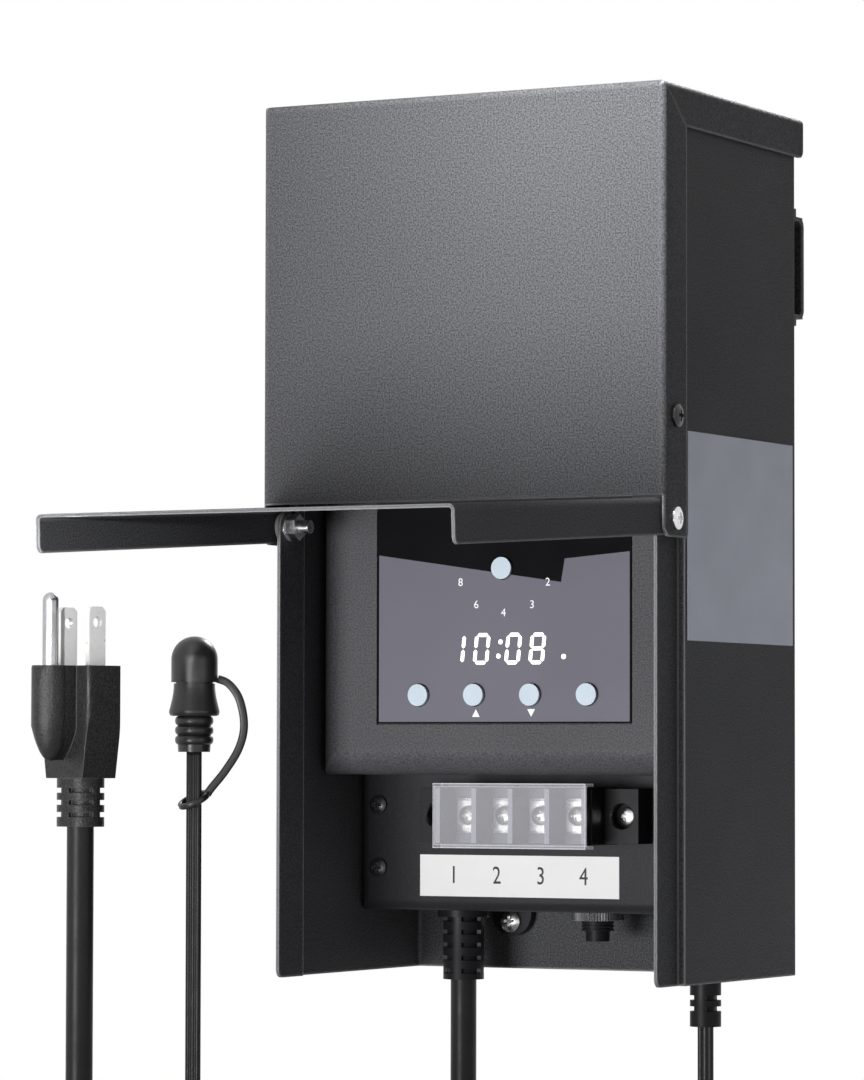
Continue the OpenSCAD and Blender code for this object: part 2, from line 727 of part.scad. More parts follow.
module upper_cover() {
  color(paint) difference() {
    intersection() {
      translate([-cover_w / 2, front_y, ear_low_z]) linear_extrude(top_z - ear_low_z)
        soft_rect([cover_w, roof_d], bend_r, [1, 1, 0, 0]);
      translate([-cover_w / 2, front_y + roof_d, ear_low_z]) y_prism(roof_d)
        soft_rect([cover_w, top_z - ear_low_z], bend_r, [0, 0, 1, 1]);
      x_prism(cover_w) difference() {
        cover_side_view();
        translate([front_y, top_z - bend_r]) difference() {
          translate([-over, 0]) square(bend_r + over);
          translate([bend_r, 0]) circle(bend_r);
        }
      }
    }
    // Inside of the folded sheet
    intersection() {
      translate([-cover_w / 2 + sheet_t, front_y + sheet_t, ear_low_z - over])
        linear_extrude(top_z - sheet_t - ear_low_z + over)
          soft_rect([cover_w - 2 * sheet_t, roof_d], inner_bend_r, [1, 1, 0, 0]);
      translate([-cover_w / 2 + sheet_t, front_y + roof_d + over, ear_low_z - over])
        y_prism(roof_d + over)
          soft_rect([cover_w - 2 * sheet_t, top_z - sheet_t - ear_low_z + over], inner_bend_r,
                    [0, 0, 1, 1]);
    }
    translate([-cover_w / 2 + sheet_t, front_y - over, ear_low_z - over])
      cube([cover_w - 2 * sheet_t, cover_flange_d + over, ear_drop + over]);
    // Mitre slits where the roof's and the front's flanges meet
    both_sides() translate([cover_w / 2, 0, 0]) x_prism(2 * bend_r) polygon([
      [front_y + bend_r, top_z - bend_r],
      [front_y + cover_flange_d, top_z - roof_flange_h - mitre_w],
      [front_y + cover_flange_d + mitre_w, top_z - roof_flange_h],
      [front_y + bend_r + mitre_w, top_z - bend_r]]);
    both_sides() {
      translate([inner_x, hinge_y, hinge_z]) x_rod(pin_r + hole_gap, cover_w);
      translate([inner_x, hinge_y + fit_gap, hinge_z + cover_screw_rise])
        x_rod(tap_r + hole_gap, cover_w);
    }
  }
}

// The door closed, about its hinge axis
module door_closed() {
  difference() {
    intersection() {
      translate([-door_w / 2, -door_face, -door_drop]) linear_extrude(door_drop + door_rise)
        difference() {
          soft_rect([door_w, door_flange_d], bend_r, [1, 1, 0, 0]);
          translate([sheet_t, sheet_t])
            soft_rect([door_w - 2 * sheet_t, door_flange_d], inner_bend_r, [1, 1, 0, 0]);
        }
      x_prism(door_w) translate([-door_face, -door_drop])
        soft_rect([door_flange_d, door_drop + door_rise], door_corner_r, [0, 1, 1, 0]);
    }
    translate([-door_w, 0, 0]) x_rod(pin_r + run_gap, 2 * door_w);
  }
}

module door() {
  color(paint) translate([0, hinge_y, hinge_z]) rotate([-open_angle, 0, 0]) door_closed();
}

module hinge_screws() {
  color(steel) both_sides() translate([cover_w / 2, hinge_y, hinge_z]) rotate([0, 90, 0])
    cross_screw(pan_r, pan_h, pin_r,
                cover_w / 2 - lip_x + sheet_t + washer_t + nut_t + thread_over + 2 * hole_gap);
}

module hinge_spacers() {
  room = door_w / 2 - sheet_t - lip_x;
  color("white") both_sides() translate([lip_x + hole_gap, hinge_y, hinge_z])
    rotate([0, 90, 0]) ring(washer_r, pin_r + hole_gap, room - 2 * hole_gap);
}

module hinge_washers() {
  color(steel) both_sides() translate([lip_x - sheet_t - washer_t, hinge_y, hinge_z])
    rotate([0, 90, 0]) ring(washer_r, pin_r + hole_gap, washer_t);
}

module hinge_nuts() {
  color(steel) both_sides() translate([lip_x - sheet_t - washer_t - nut_t, hinge_y, hinge_z])
    rotate([0, 90, 0]) ring(nut_af * hexagon_share, pin_r + hole_gap / 2, nut_t, 6);
}

module cover_screws() {
  color(mould_black) both_sides()
    translate([cover_w / 2, hinge_y + fit_gap, hinge_z + cover_screw_rise])
      rotate([0, 90, 0]) cross_screw(pan_r, pan_h, tap_r, cover_screw_l);
}

// Hat-section strap welded across the back panel, with its keyhole
module bracket_side_view(t, h, r) {
  translate([back_y, 0]) soft_rect([bracket_stand - t, h], r, [0, 1, 1, 0]);
}

module hanger_bracket() {
  plate_z = -plate_below;
  color(paint) difference() {
    x_prism(bracket_w) {
      difference() {
        translate([0, plate_z]) bracket_side_view(0, bracket_h, bend_r + bracket_t);
        translate([-over, plate_z + bracket_t])
          translate([back_y, 0])
            soft_rect([bracket_stand - bracket_t + over, bracket_h - 2 * bracket_t],
                      bend_r, [0, 1, 1, 0]);
      }
      translate([back_y, plate_z - foot_h]) square([bracket_t, foot_h + bracket_t]);
      translate([back_y, plate_z + bracket_h - bracket_t]) square([bracket_t, foot_h + bracket_t]);
    }
    translate([0, -bracket_t - over, 0]) y_rod(key_r, bracket_t + 2 * over);
    translate([0, -bracket_t - over, slot_l]) y_rod(slot_r, bracket_t + 2 * over);
    translate([-slot_r, -bracket_t - over, 0]) cube([2 * slot_r, bracket_t + 2 * over, slot_l]);
  }
}

module side_label() {
  color([0.60, 0.63, 0.67])
    translate([body_w / 2, back_y - side_label_d - 2 * bend_r, low_z + side_label_low])
      cube([label_t, side_label_d, side_label_h]);
}

// Moulded block with rounded front edges: plan view run upwards, side view run across
module moulding(half_x, y0, d, z0, h, r, low_corner, high_corner) {
  intersection() {
    translate([-half_x, y0, z0]) linear_extrude(h) soft_rect([2 * half_x, d], r, [1, 1, 0, 0]);
    x_prism(2 * half_x) translate([y0, z0]) soft_rect([d, h], r, [low_corner, 0, 0, high_corner]);
  }
}

module timer_housing() {
  d = box_y - timer_y;
  color(mould_black) difference() {
    union() {
      difference() {
        moulding(timer_x, timer_y, d, timer_low_z, timer_h, timer_r, 1, 1);
        moulding(timer_x - mould_t, timer_y + face_t + mould_t, d, timer_low_z + mould_t,
                 timer_h - 2 * mould_t, timer_r - mould_t, 1, 1);
      }
      // Posts that carry the circuit board
      for (x = [-1, 1]) for (z = [0, 1])
        translate([x * (board_w / 2 - post_in_x), timer_y + face_t + mould_t / 2,
                   timer_low_z + board_edge_rise + post_in_x + z * (board_h - 2 * post_in_x)])
          y_rod(post_r, board_y - timer_y - face_t - mould_t / 2);
    }
    translate([-face_w / 2 - face_gap, timer_y - over, face_low_z - face_gap])
      cube([face_w + 2 * face_gap, over + face_t, face_h + 2 * face_gap]);
    for (p = concat(BUTTON_ROW, [MENU_AT]))
      translate([p.x, timer_y - over, p.y])
        y_rod(button_r + button_hole_gap, 2 * over + face_t + mould_t);
    translate([-display_w / 2 - face_gap, timer_y, display_at_z - display_h / 2 - face_gap])
      cube([display_w + 2 * face_gap, mould_t + face_t + over, display_h + 2 * face_gap]);
  }
}

module faceplate() {
  color([0.45, 0.44, 0.49]) difference() {
    translate([-face_w / 2, timer_y, face_low_z]) cube([face_w, face_t, face_h]);
    for (p = concat(BUTTON_ROW, [MENU_AT]))
      translate([p.x, timer_y - over, p.y]) y_rod(button_r + button_hole_gap, face_t + 2 * over);
  }
}

module display_module() {
  color("black") translate([-display_w / 2, board_y - display_d, display_at_z - display_h / 2])
    cube([display_w, display_d, display_h]);
}

module timer_board() {
  color([0.10, 0.35, 0.18])
    translate([-board_w / 2, board_y, timer_low_z + board_edge_rise])
      cube([board_w, board_t, board_h]);
}

module tact_switches() {
  color(mould_black) for (p = concat(BUTTON_ROW, [MENU_AT])) {
    translate([p.x - switch_w / 2, board_y - switch_d, p.y - switch_w / 2])
      cube([switch_w, switch_d, switch_w]);
    translate([p.x, board_y - switch_d - plunger_l, p.y]) y_rod(plunger_r, plunger_l);
  }
}

module relay() {
  color([0.15, 0.35, 0.65])
    translate([-relay_w / 2, board_y + board_t, timer_low_z + timer_h / 2])
      cube([relay_w, relay_d, relay_h]);
}

// Round key cap with a retaining flange and a stem behind it
module push_button(p) {
  stem_y = button_flange_y + button_flange_t;
  color([0.86, 0.90, 0.95]) {
    translate([p.x, button_y, p.y]) intersection() {
      y_rod(button_r, button_flange_y - button_y);
      translate([0, 4 * button_r, 0]) sphere(4 * button_r);
    }
    translate([p.x, button_flange_y, p.y]) y_rod(button_flange_r, button_flange_t);
    translate([p.x, stem_y, p.y]) y_rod(plunger_r, button_stem_l);
  }
}

module menu_button() { push_button(MENU_AT); }
module enter_button() { push_button(BUTTON_ROW[0]); }
module up_button() { push_button(BUTTON_ROW[1]); }
module down_button() { push_button(BUTTON_ROW[2]); }
module clock_button() { push_button(BUTTON_ROW[3]); }

module terminal_box() {
  d = box_rear_y - box_y;
  color(mould_black) difference() {
    union() {
      difference() {
        moulding(box_x, box_y, d, box_low_z, box_h, box_r, 1, 0);
        translate([0, 0, over])
          moulding(box_x - mould_t, box_y + mould_t, d, box_low_z + mould_t - over,
                   box_h, box_r - mould_t, 1, 0);
      }
      both_sides() translate([lug_x, box_rear_y - lug_t, lug_z]) y_rod(lug_r, lug_t + fit_gap);
    }
    both_sides() {
      translate([lug_x, box_rear_y - lug_t - over, lug_z - lug_screw_drop])
        y_rod(lug_hole_r, lug_t + 2 * over);
      for (rise = box_screw_rises)
        translate([box_screw_x, box_y - over, box_low_z + rise])
          y_rod(tap_r + hole_gap, mould_t + 2 * over);
    }
    for (s = [-1, 1])
      translate([block_x + s * (block_span + tab_l) / 2, box_y - over, block_z])
        y_rod(tap_r + hole_gap, mould_t + 2 * over);
    translate([-mains_x, outlet_y, box_low_z - over])
      cylinder(r = neck_r + hole_gap, h = mould_t + 2 * over);
    translate([breaker_x, outlet_y, box_low_z - over])
      cylinder(r = collar_r + hole_gap, h = mould_t + 2 * over);
    translate([sensor_out_x, outlet_y, box_low_z - over])
      cylinder(r = gland_neck_r + hole_gap, h = mould_t + 2 * over);
  }
}

module terminal_box_screws() {
  color("black") both_sides() for (rise = box_screw_rises)
    translate([box_screw_x, box_y, box_low_z + rise]) rotate([90, 0, 0])
      cross_screw(dome_head_r, dome_head_h, tap_r, 2 * mould_t);
}

module lug_screws() {
  color(steel) both_sides() translate([lug_x, box_rear_y - lug_t, lug_z - lug_screw_drop])
    rotate([90, 0, 0]) cross_screw(lug_head_r, lug_head_h, lug_hole_r - hole_gap,
                                   lug_t + fit_gap + sheet_t + bracket_t);
}

module terminal_base() {
  low = block_z - block_h / 2;
  color("black") difference() {
    union() {
      translate([block_x - block_w / 2, floor_y, low]) cube([block_w, box_y - floor_y, block_h]);
      translate([block_x - block_span / 2, divider_y + end_drop, low + fit_gap])
        cube([block_end + divider_t, box_y - divider_y - end_drop, block_h - 2 * fit_gap]);
      translate([block_x + block_w / 2 - divider_t, divider_y + end_drop, low + fit_gap])
        cube([block_end + divider_t, box_y - divider_y - end_drop, block_h - 2 * fit_gap]);
      for (i = [0:terminals])
        translate([block_x - block_w / 2 + i * terminal_pitch, divider_y, low])
          cube([divider_t, box_y - divider_y, block_h]);
      for (s = [-1, 1])
        translate([block_x + s * (block_span + tab_l - block_end) / 2 - (tab_l + block_end) / 2, tab_y,
                   low + fit_gap])
          cube([tab_l + block_end, tab_d, block_h - 2 * fit_gap]);
    }
    for (s = [-1, 1]) translate([block_x + s * (block_span + tab_l) / 2, tab_y - over, block_z]) {
      y_rod(well_r, well_d + over);
      y_rod(tap_r + hole_gap, tab_d + 2 * over);
    }
    for (x = TERMINAL_X) translate([x, floor_y - over, block_z])
      y_rod(tap_r + hole_gap, block_floor * 0.75 + over);
  }
}

module terminal_plates() {
  color(steel) for (x = TERMINAL_X) difference() {
    union() {
      translate([x - plate_w / 2, floor_y - plate_t, block_z - plate_h / 2])
        cube([plate_w, plate_t, plate_h]);
      translate([x - clamp_w / 2, floor_y - plate_t - clamp_t, block_z - clamp_h / 2])
        cube([clamp_w, clamp_t, clamp_h]);
    }
    translate([x, floor_y - plate_t - clamp_t - over, block_z])
      y_rod(tap_r + hole_gap, plate_t + clamp_t + 2 * over);
  }
}

module terminal_screws() {
  color(steel) for (x = TERMINAL_X) translate([x, floor_y - plate_t - clamp_t, block_z])
    rotate([90, 0, 0]) cross_screw(terminal_head_r, terminal_head_h, tap_r,
                                   plate_t + clamp_t + block_floor / 2);
}

// Clear snap-on cover: a front sheet with short edges turned back above and below
module terminal_cover() {
  w = block_w + 2 * clear_gap;
  h = block_h + 2 * (clear_gap + clear_t);
  color([0.85, 0.84, 0.95, 0.35]) difference() {
    translate([block_x - w / 2, clear_y, block_z - h / 2]) cube([w, clear_d, h]);
    translate([block_x - w / 2 - over, clear_y + clear_t, block_z - h / 2 + clear_t])
      cube([w + 2 * over, clear_d, h - 2 * clear_t]);
  }
}

module terminal_mount_screws() {
  color(steel) for (s = [-1, 1])
    translate([block_x + s * (block_span + tab_l) / 2, tab_y + well_d, block_z])
      rotate([90, 0, 0]) cross_screw(mount_head_r, mount_head_h, tap_r, tab_d - well_d + mould_t);
}

module terminal_label() {
  color("white") translate([label_x - label_w / 2, box_y - label_t, box_low_z + label_rise])
    cube([label_w, label_t, label_h]);
}

module breaker_body() {
  color(mould_black) translate([breaker_x, outlet_y, 0]) difference() {
    union() {
      translate([-breaker_w / 2, -breaker_l / 2, box_low_z + mould_t])
        cube([breaker_w, breaker_l, breaker_h]);
      translate([0, 0, box_low_z - collar_l]) cylinder(r = collar_r, h = collar_l + mould_t);
    }
    translate([0, 0, box_low_z - collar_l - over])
      cylinder(r = reset_r + hole_gap, h = collar_l + mould_t + over);
    for (i = [0:threads - 1]) translate([0, 0, box_low_z - collar_l + (i + 0.5) * thread_step])
      ring(collar_r + over, collar_r - thread_d, thread_step / 2);
  }
}

module breaker_nut() {
  color(mould_black) translate([breaker_x, outlet_y, box_low_z - knurl_t]) difference() {
    linear_extrude(knurl_t) polygon([for (i = [0:2 * knurls - 1])
      let (a = 180 * i / knurls, r = i % 2 == 0 ? knurl_r : knurl_r * knurl_depth_share)
      [r * cos(a), r * sin(a)]]);
    translate([0, 0, -over]) cylinder(r = collar_r + hole_gap / 2, h = knurl_t + 2 * over);
  }
}

module breaker_button() {
  color("black") translate([breaker_x, outlet_y, box_low_z - collar_l - reset_out])
    cylinder(r = reset_r, h = reset_out + collar_l + mould_t - fit_gap);
}

// Taped toroidal core, standing on the back panel with its axis along Y
module toroidal_core() {
  color(copper_tape) translate([0, core_front_y + pad_t, core_z]) rotate([-90, 0, 0])
    rotate_extrude() translate([core_hole_r, 0])
      soft_rect([core_r - core_hole_r, core_d], core_edge_r);
}

module core_pads() {
  color("black") for (y = [core_front_y, inner_back_y - pad_t])
    translate([0, y, core_z]) rotate([-90, 0, 0]) ring(pad_r - core_edge_r, core_hole_r, pad_t);
}

module core_washer() {
  color(steel) translate([0, core_front_y - dish_t, core_z]) rotate([-90, 0, 0])
    ring(dish_r, stud_r + hole_gap, dish_t);
}

module core_stud() {
  l = inner_back_y - core_front_y + dish_t + stud_over;
  color(steel) translate([0, inner_back_y - l, core_z]) y_rod(stud_r, l);
}

module core_nut() {
  color(steel) translate([0, core_front_y - dish_t - stud_nut_t, core_z]) rotate([-90, 0, 0])
    ring(stud_nut_af * hexagon_share, stud_r + hole_gap / 2, stud_nut_t, 6);
}

// Slotted rings, each tied to the core by two bridges, turned a quarter from ring to ring
module mains_strain_relief() {
  rings_l = relief_l - relief_flange_t;
  pitch = (rings_l - relief_end_h - relief_slot_h) / (relief_slots - 1);
  color(mould_black) translate([-mains_x, outlet_y, box_low_z]) {
    translate([0, 0, -relief_flange_t]) cylinder(r = relief_flange_r, h = relief_flange_t);
    cylinder(r = neck_r, h = neck_h);
    difference() {
      translate([0, 0, -relief_l]) cylinder(r = relief_ring_r, h = rings_l);
      for (i = [0:relief_slots - 1])
        translate([0, 0, -relief_l + relief_end_h + i * pitch]) rotate([0, 0, relief_turn])
          difference() {
            ring(relief_ring_r + over, relief_core_r,
                 relief_slot_h + (i == relief_slots - 1 ? over : 0));
            for (turn = [0, 90]) rotate([0, 0, turn])
              cube([relief_bridge_w, 4 * relief_ring_r, 4 * relief_slot_h], center = true);
          }
    }
  }
}

module sensor_gland() {
  color(mould_black) translate([sensor_out_x, outlet_y, box_low_z]) {
    translate([0, 0, -gland_flange_t]) cylinder(r = gland_flange_r, h = gland_flange_t);
    cylinder(r = gland_neck_r, h = neck_h);
    difference() {
      translate([0, 0, -gland_l]) cylinder(r = gland_r, h = gland_l - gland_flange_t);
      for (i = [0:gland_slots - 1])
        translate([0, 0, -gland_l + gland_end_h + i * (gland_slot_h + gland_ring_h)])
          difference() {
            ring(gland_r + over, gland_core_r, gland_slot_h);
            cube([gland_bridge_w, 4 * gland_r, 4 * gland_slot_h], center = true);
          }
    }
  }
}

module mains_cord() {
  color(mould_black) sweep(MAINS_ROUTE, cord_r, cord_r, [1, 0, 0], 8);
}

module plug_cord() {
  color(mould_black) sweep(PLUG_ROUTE, cord_r, cord_r, [0, 1, 0], 8);
}

module mains_coil() {
  color(mould_black) sweep(mains_points, cord_r, cord_r, [0, 0, 1], 6);
}

module sensor_cord() {
  color(mould_black) sweep(SENSOR_ROUTE, lead_w / 2, lead_t / 2, [1, 0, 0], 8);
}

module sensor_lead() {
  color(mould_black) sweep(LEAD_ROUTE, lead_w / 2, lead_t / 2, [0, 0, 1], 8);
}

module sensor_coil() {
  color(mould_black) sweep(sensor_points, lead_w / 2, lead_t / 2, [0, 0, 1], 6);
}

// Band round a coil's bundle, on the side that angle a points to
module coil_tie(c, r, inward, half_w, half_h, step, a) {
  w = inward + 2 * (half_w + fit_gap + tie_t);
  h = 2 * (half_h + fit_gap + tie_t) + step;
  translate([c.x, c.y, floor_z + half_h + step / 2]) rotate([0, 0, a])
    translate([r - inward / 2, 0, 0]) difference() {
      cube([w, tie_w, h], center = true);
      cube([w - 2 * tie_t, tie_w + over, h - 2 * tie_t], center = true);
    }
}

module mains_tie() {
  turns = (mains_coil_turn / 360 - 0.5) / 2;
  color("black") coil_tie(MAINS_COIL, mains_coil_r, turns * coil_step, cord_r, cord_r,
                          coil_step, mains_tie_angle);
}

module sensor_tie() {
  turns = (-sensor_coil_turn / 360 - 0.5) / 2;
  color("black") coil_tie(SENSOR_COIL, sensor_coil_r, turns * lead_step, lead_t / 2, lead_w / 2,
                          lead_step, sensor_tie_angle);
}

// Grip of the plug, cut by the slopes of its sides
module plug_grip() {
  slope_h = plug_l * (1 - plug_straight_share);
  intersection() {
    translate([-plug_w / 2, -plug_d / 2, 0]) linear_extrude(plug_l)
      soft_rect([plug_w, plug_d], plug_corner_r);
    rotate([90, 0, 0]) linear_extrude(4 * plug_d, center = true) polygon([
      [-plug_w / 2 * plug_taper_share, 0], [plug_w / 2 * plug_taper_share, 0], [plug_w / 2, slope_h],
      [plug_w / 2, plug_l], [-plug_w / 2, plug_l], [-plug_w / 2, slope_h]]);
  }
}

// Rib round the ground pin: a half round that runs down the grip and ends in a long dome
module plug_rib() {
  straight = plug_l * rib_straight_share;
  dome = plug_l * rib_end_share - straight;
  arc = [for (i = [0:8]) [rib_r * (1 - pow(i / 8, rib_power)), -dome * i / 8]];
  translate([0, -ground_off, plug_l - straight]) {
    cylinder(r = rib_r, h = straight);
    translate([-rib_r, 0, 0]) cube([2 * rib_r, ground_off, straight]);
    rotate_extrude() polygon(concat([[0, 0]], arc));
    translate([0, ground_off, 0]) y_prism(ground_off)
      polygon(concat([for (i = [8:-1:0]) [-arc[i].x, arc[i].y]], arc));
  }
}

// One row of slots in the plug's strain relief, cut down to a core of w by d
module plug_slot(w, d) {
  difference() {
    linear_extrude(plug_slot_h, center = true) difference() {
      square(2 * plug_relief_w, center = true);
      translate([-w / 2, -d / 2]) soft_rect([w, d], plug_relief_r - plug_slot_d);
    }
    for (turn = [0, 90]) rotate([0, 0, plug_bridge_turn + turn])
      cube([plug_bridge_w, 4 * plug_relief_w, 2 * plug_slot_h], center = true);
  }
}

module plug_body() {
  color(mould_black) translate([plug_at.x, plug_at.y, plug_low_z]) rotate([0, 0, plug_turn])
    difference() {
      union() {
        plug_grip();
        plug_rib();
        translate([-plug_relief_w / 2, -plug_relief_d / 2, -plug_relief_l])
          linear_extrude(plug_relief_l + over)
            soft_rect([plug_relief_w, plug_relief_d], plug_relief_r);
      }
      for (i = [1:plug_slots]) translate([0, 0, -plug_relief_l * i / (plug_slots + 1)])
        plug_slot(plug_relief_w - 2 * plug_slot_d, plug_relief_d - 2 * plug_slot_d);
      for (s = [-1, 1])
        translate([s * blade_pitch / 2 - blade_t / 2, -blade_w / 2, plug_l - seat_d])
          cube([blade_t, blade_w, seat_d + over]);
      translate([0, -ground_off, plug_l - seat_d])
        cylinder(r = ground_r * tail_share, h = seat_d + over);
    }
}

module plug_blades() {
  l = blade_l + seat_d;
  color(steel) translate([plug_at.x, plug_at.y, plug_face_z - seat_d]) rotate([0, 0, plug_turn])
    for (s = [-1, 1]) translate([s * blade_pitch / 2 - blade_t / 2, -blade_w / 2, 0])
      rotate([90, 0, 90]) linear_extrude(blade_t) difference() {
        polygon([[0, 0], [blade_w, 0], [blade_w, l - blade_corner], [blade_w - blade_corner, l],
                 [blade_corner, l], [0, l - blade_corner]]);
        translate([blade_w / 2, l - blade_hole_drop]) circle(blade_hole_r);
      }
}

module plug_ground_pin() {
  l = ground_l - ground_r;
  color(steel) translate([plug_at.x, plug_at.y, plug_face_z])
    rotate([0, 0, plug_turn]) translate([0, -ground_off, 0]) {
      cylinder(r = ground_r, h = l);
      translate([0, 0, l]) sphere(ground_r);
      translate([0, 0, -seat_d]) cylinder(r = ground_r * tail_share, h = seat_d + over);
    }
}

// Flared sensor body over a ribbed boot, turned as one moulding
module sensor_body() {
  flare = [for (i = [0:6]) let (s = i / 6)
    [skirt_r + (sensor_r - skirt_r) * sin(90 * s), boot_l + (0.16 + 0.84 * s) * sensor_h]];
  rib_h = (boot_l - boot_end_h) / boot_ribs;
  ribs = [for (i = [0:boot_ribs - 1]) for (k = [0:boot_steps - 1])
    [boot_groove_r + (boot_r - boot_groove_r) * sqrt(sin(180 * k / boot_steps)),
     boot_end_h + (i + k / boot_steps) * rib_h]];
  color(mould_black) translate([sensor_at.x, sensor_at.y, sensor_low_z]) rotate_extrude()
    polygon(concat(
      [[0, 0], [boot_end_r, 0]], ribs, [[boot_groove_r, boot_l],
       [skirt_r - skirt_round, boot_l], [skirt_r - 0.3 * skirt_round, boot_l + 0.3 * skirt_round],
       [skirt_r, boot_l + skirt_round]], flare,
      [[spigot_r, boot_l + sensor_h], [spigot_r, boot_l + sensor_h + spigot_h],
       [0, boot_l + sensor_h + spigot_h]]));
}

module photocell() {
  color([0.55, 0.2, 0.15])
    translate([sensor_at.x, sensor_at.y, cap_z + spigot_h]) intersection() {
      cylinder(r = cell_r, h = cell_r);
      sphere(cell_r);
    }
}

module sensor_cap() {
  straight = cap_h - cap_r;
  inner = cap_r - cap_t;
  color("black") translate([sensor_at.x, sensor_at.y, cap_z + cell_dome_gap]) difference() {
    union() {
      cylinder(r = cap_r, h = straight);
      translate([0, 0, straight]) sphere(cap_r);
    }
    translate([0, 0, -over]) cylinder(r = inner, h = straight + over);
    translate([0, 0, straight]) sphere(inner);
    translate([0, 0, -cap_r - over]) cylinder(r = 2 * cap_r, h = cap_r + over);
  }
}

module cap_strap() {
  color("black") {
    sweep(STRAP_ROUTE, strap_w / 2, strap_t / 2, [0.469, -0.883, 0], 8);
    translate([sensor_at.x, sensor_at.y, strap_loop_z]) rotate([0, -24, 28])
      ring(strap_loop_r + strap_t, strap_loop_r, strap_w);
  }
}

body_shell();
upper_cover();
door();
hanger_bracket();
hinge_screws();
hinge_spacers();
hinge_washers();
hinge_nuts();
cover_screws();
side_label();
timer_housing();
faceplate();
display_module();
timer_board();
tact_switches();
relay();
menu_button();
enter_button();
up_button();
down_button();
clock_button();
terminal_box();
terminal_box_screws();
lug_screws();
terminal_base();
terminal_plates();
terminal_screws();
terminal_cover();
terminal_mount_screws();
terminal_label();
breaker_body();
breaker_nut();
breaker_button();
toroidal_core();
core_pads();
core_washer();
core_stud();
core_nut();
mains_strain_relief();
mains_cord();
mains_coil();
mains_tie();
plug_cord();
plug_body();
plug_blades();
plug_ground_pin();
sensor_gland();
sensor_cord();
sensor_coil();
sensor_tie();
sensor_lead();
sensor_body();
photocell();
sensor_cap();
cap_strap();
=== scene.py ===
"""Looks of the low voltage landscape transformer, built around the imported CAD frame. Metres, Z up."""

import json
from math import cos, pi, radians, sin

import bpy
from mathutils import Matrix, Vector


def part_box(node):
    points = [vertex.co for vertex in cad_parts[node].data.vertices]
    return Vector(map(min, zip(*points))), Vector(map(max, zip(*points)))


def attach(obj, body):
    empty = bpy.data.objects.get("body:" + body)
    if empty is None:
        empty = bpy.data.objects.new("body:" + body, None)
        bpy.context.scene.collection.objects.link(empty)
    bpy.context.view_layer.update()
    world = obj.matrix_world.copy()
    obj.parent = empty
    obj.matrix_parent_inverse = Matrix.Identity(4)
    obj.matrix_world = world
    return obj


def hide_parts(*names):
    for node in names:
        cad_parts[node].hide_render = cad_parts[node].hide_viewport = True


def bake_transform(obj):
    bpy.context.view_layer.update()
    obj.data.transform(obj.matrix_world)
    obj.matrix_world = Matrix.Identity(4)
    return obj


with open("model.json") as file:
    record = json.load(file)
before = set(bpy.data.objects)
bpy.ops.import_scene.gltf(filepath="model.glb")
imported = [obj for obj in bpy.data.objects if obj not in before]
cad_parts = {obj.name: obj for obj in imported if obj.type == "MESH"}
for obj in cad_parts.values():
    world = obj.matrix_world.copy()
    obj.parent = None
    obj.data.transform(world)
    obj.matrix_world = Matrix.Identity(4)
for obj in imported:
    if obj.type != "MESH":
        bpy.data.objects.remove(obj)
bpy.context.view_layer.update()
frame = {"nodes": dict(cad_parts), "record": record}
scene = bpy.context.scene
MM = 0.001


def add(name, data):
    o = bpy.data.objects.new(name, data)
    scene.collection.objects.link(o)
    return o


# ---------------------------------------------------------------- camera
CAMERA_AT = (0.64484, -1.33305, -0.14498)
CAMERA_TURN = (28.0, -2.593, 0.114)  # azimuth, elevation and roll, degrees
FILM_H, LENS = 36, 158.75


def aim_camera():
    """The camera that was fitted to the box's corners in the photograph."""
    data = bpy.data.cameras.new("camera")
    data.sensor_fit = "VERTICAL"
    data.sensor_height = FILM_H
    data.lens = LENS
    cam = add("camera", data)
    az, el, roll = (radians(a) for a in CAMERA_TURN)
    back = Vector((sin(az) * cos(el), -cos(az) * cos(el), sin(el)))
    right = Vector((cos(az), sin(az), 0))
    up = back.cross(right)
    r = right * cos(roll) + up * sin(roll)
    u = -right * sin(roll) + up * cos(roll)
    turn = Matrix((r, u, back)).transposed().to_4x4()
    cam.matrix_world = Matrix.Translation(CAMERA_AT) @ turn
    scene.camera = cam


aim_camera()


# ---------------------------------------------------------------- materials
def link(tree, a, b):
    tree.links.new(a, b)


def noise_fac(tree, place, scale, detail=2.0):
    """Noise from 0 to 1 over the object's own coordinates."""
    n = tree.nodes.new("ShaderNodeTexNoise")
    n.inputs["Scale"].default_value = scale
    n.inputs["Detail"].default_value = detail
    link(tree, place.outputs["Object"], n.inputs["Vector"])
    return n.outputs["Fac"]


def span(tree, fac, low, high, start=0.3, end=0.7):
    """Low where fac is start or less, high where it is end or more."""
    m = tree.nodes.new("ShaderNodeMapRange")
    for key, v in (("From Min", start), ("From Max", end), ("To Min", low), ("To Max", high)):
        m.inputs[key].default_value = v
    link(tree, fac, m.inputs["Value"])
    return m.outputs["Result"]


def mixed(tree, fac, a, b):
    """Colour a where fac is 0 and b where it is 1; a and b are colours or sockets."""
    m = tree.nodes.new("ShaderNodeMix")
    m.data_type = "RGBA"
    link(tree, fac, m.inputs[0])
    for socket, v in ((m.inputs[6], a), (m.inputs[7], b)):
        if isinstance(v, tuple):
            socket.default_value = (*v, 1)
        else:
            link(tree, v, socket)
    return m.outputs[2]


def shades(color, part):
    """The colour made darker and lighter by that part."""
    return (tuple(c * (1 + k * part) for c in color) for k in (-1, 1))


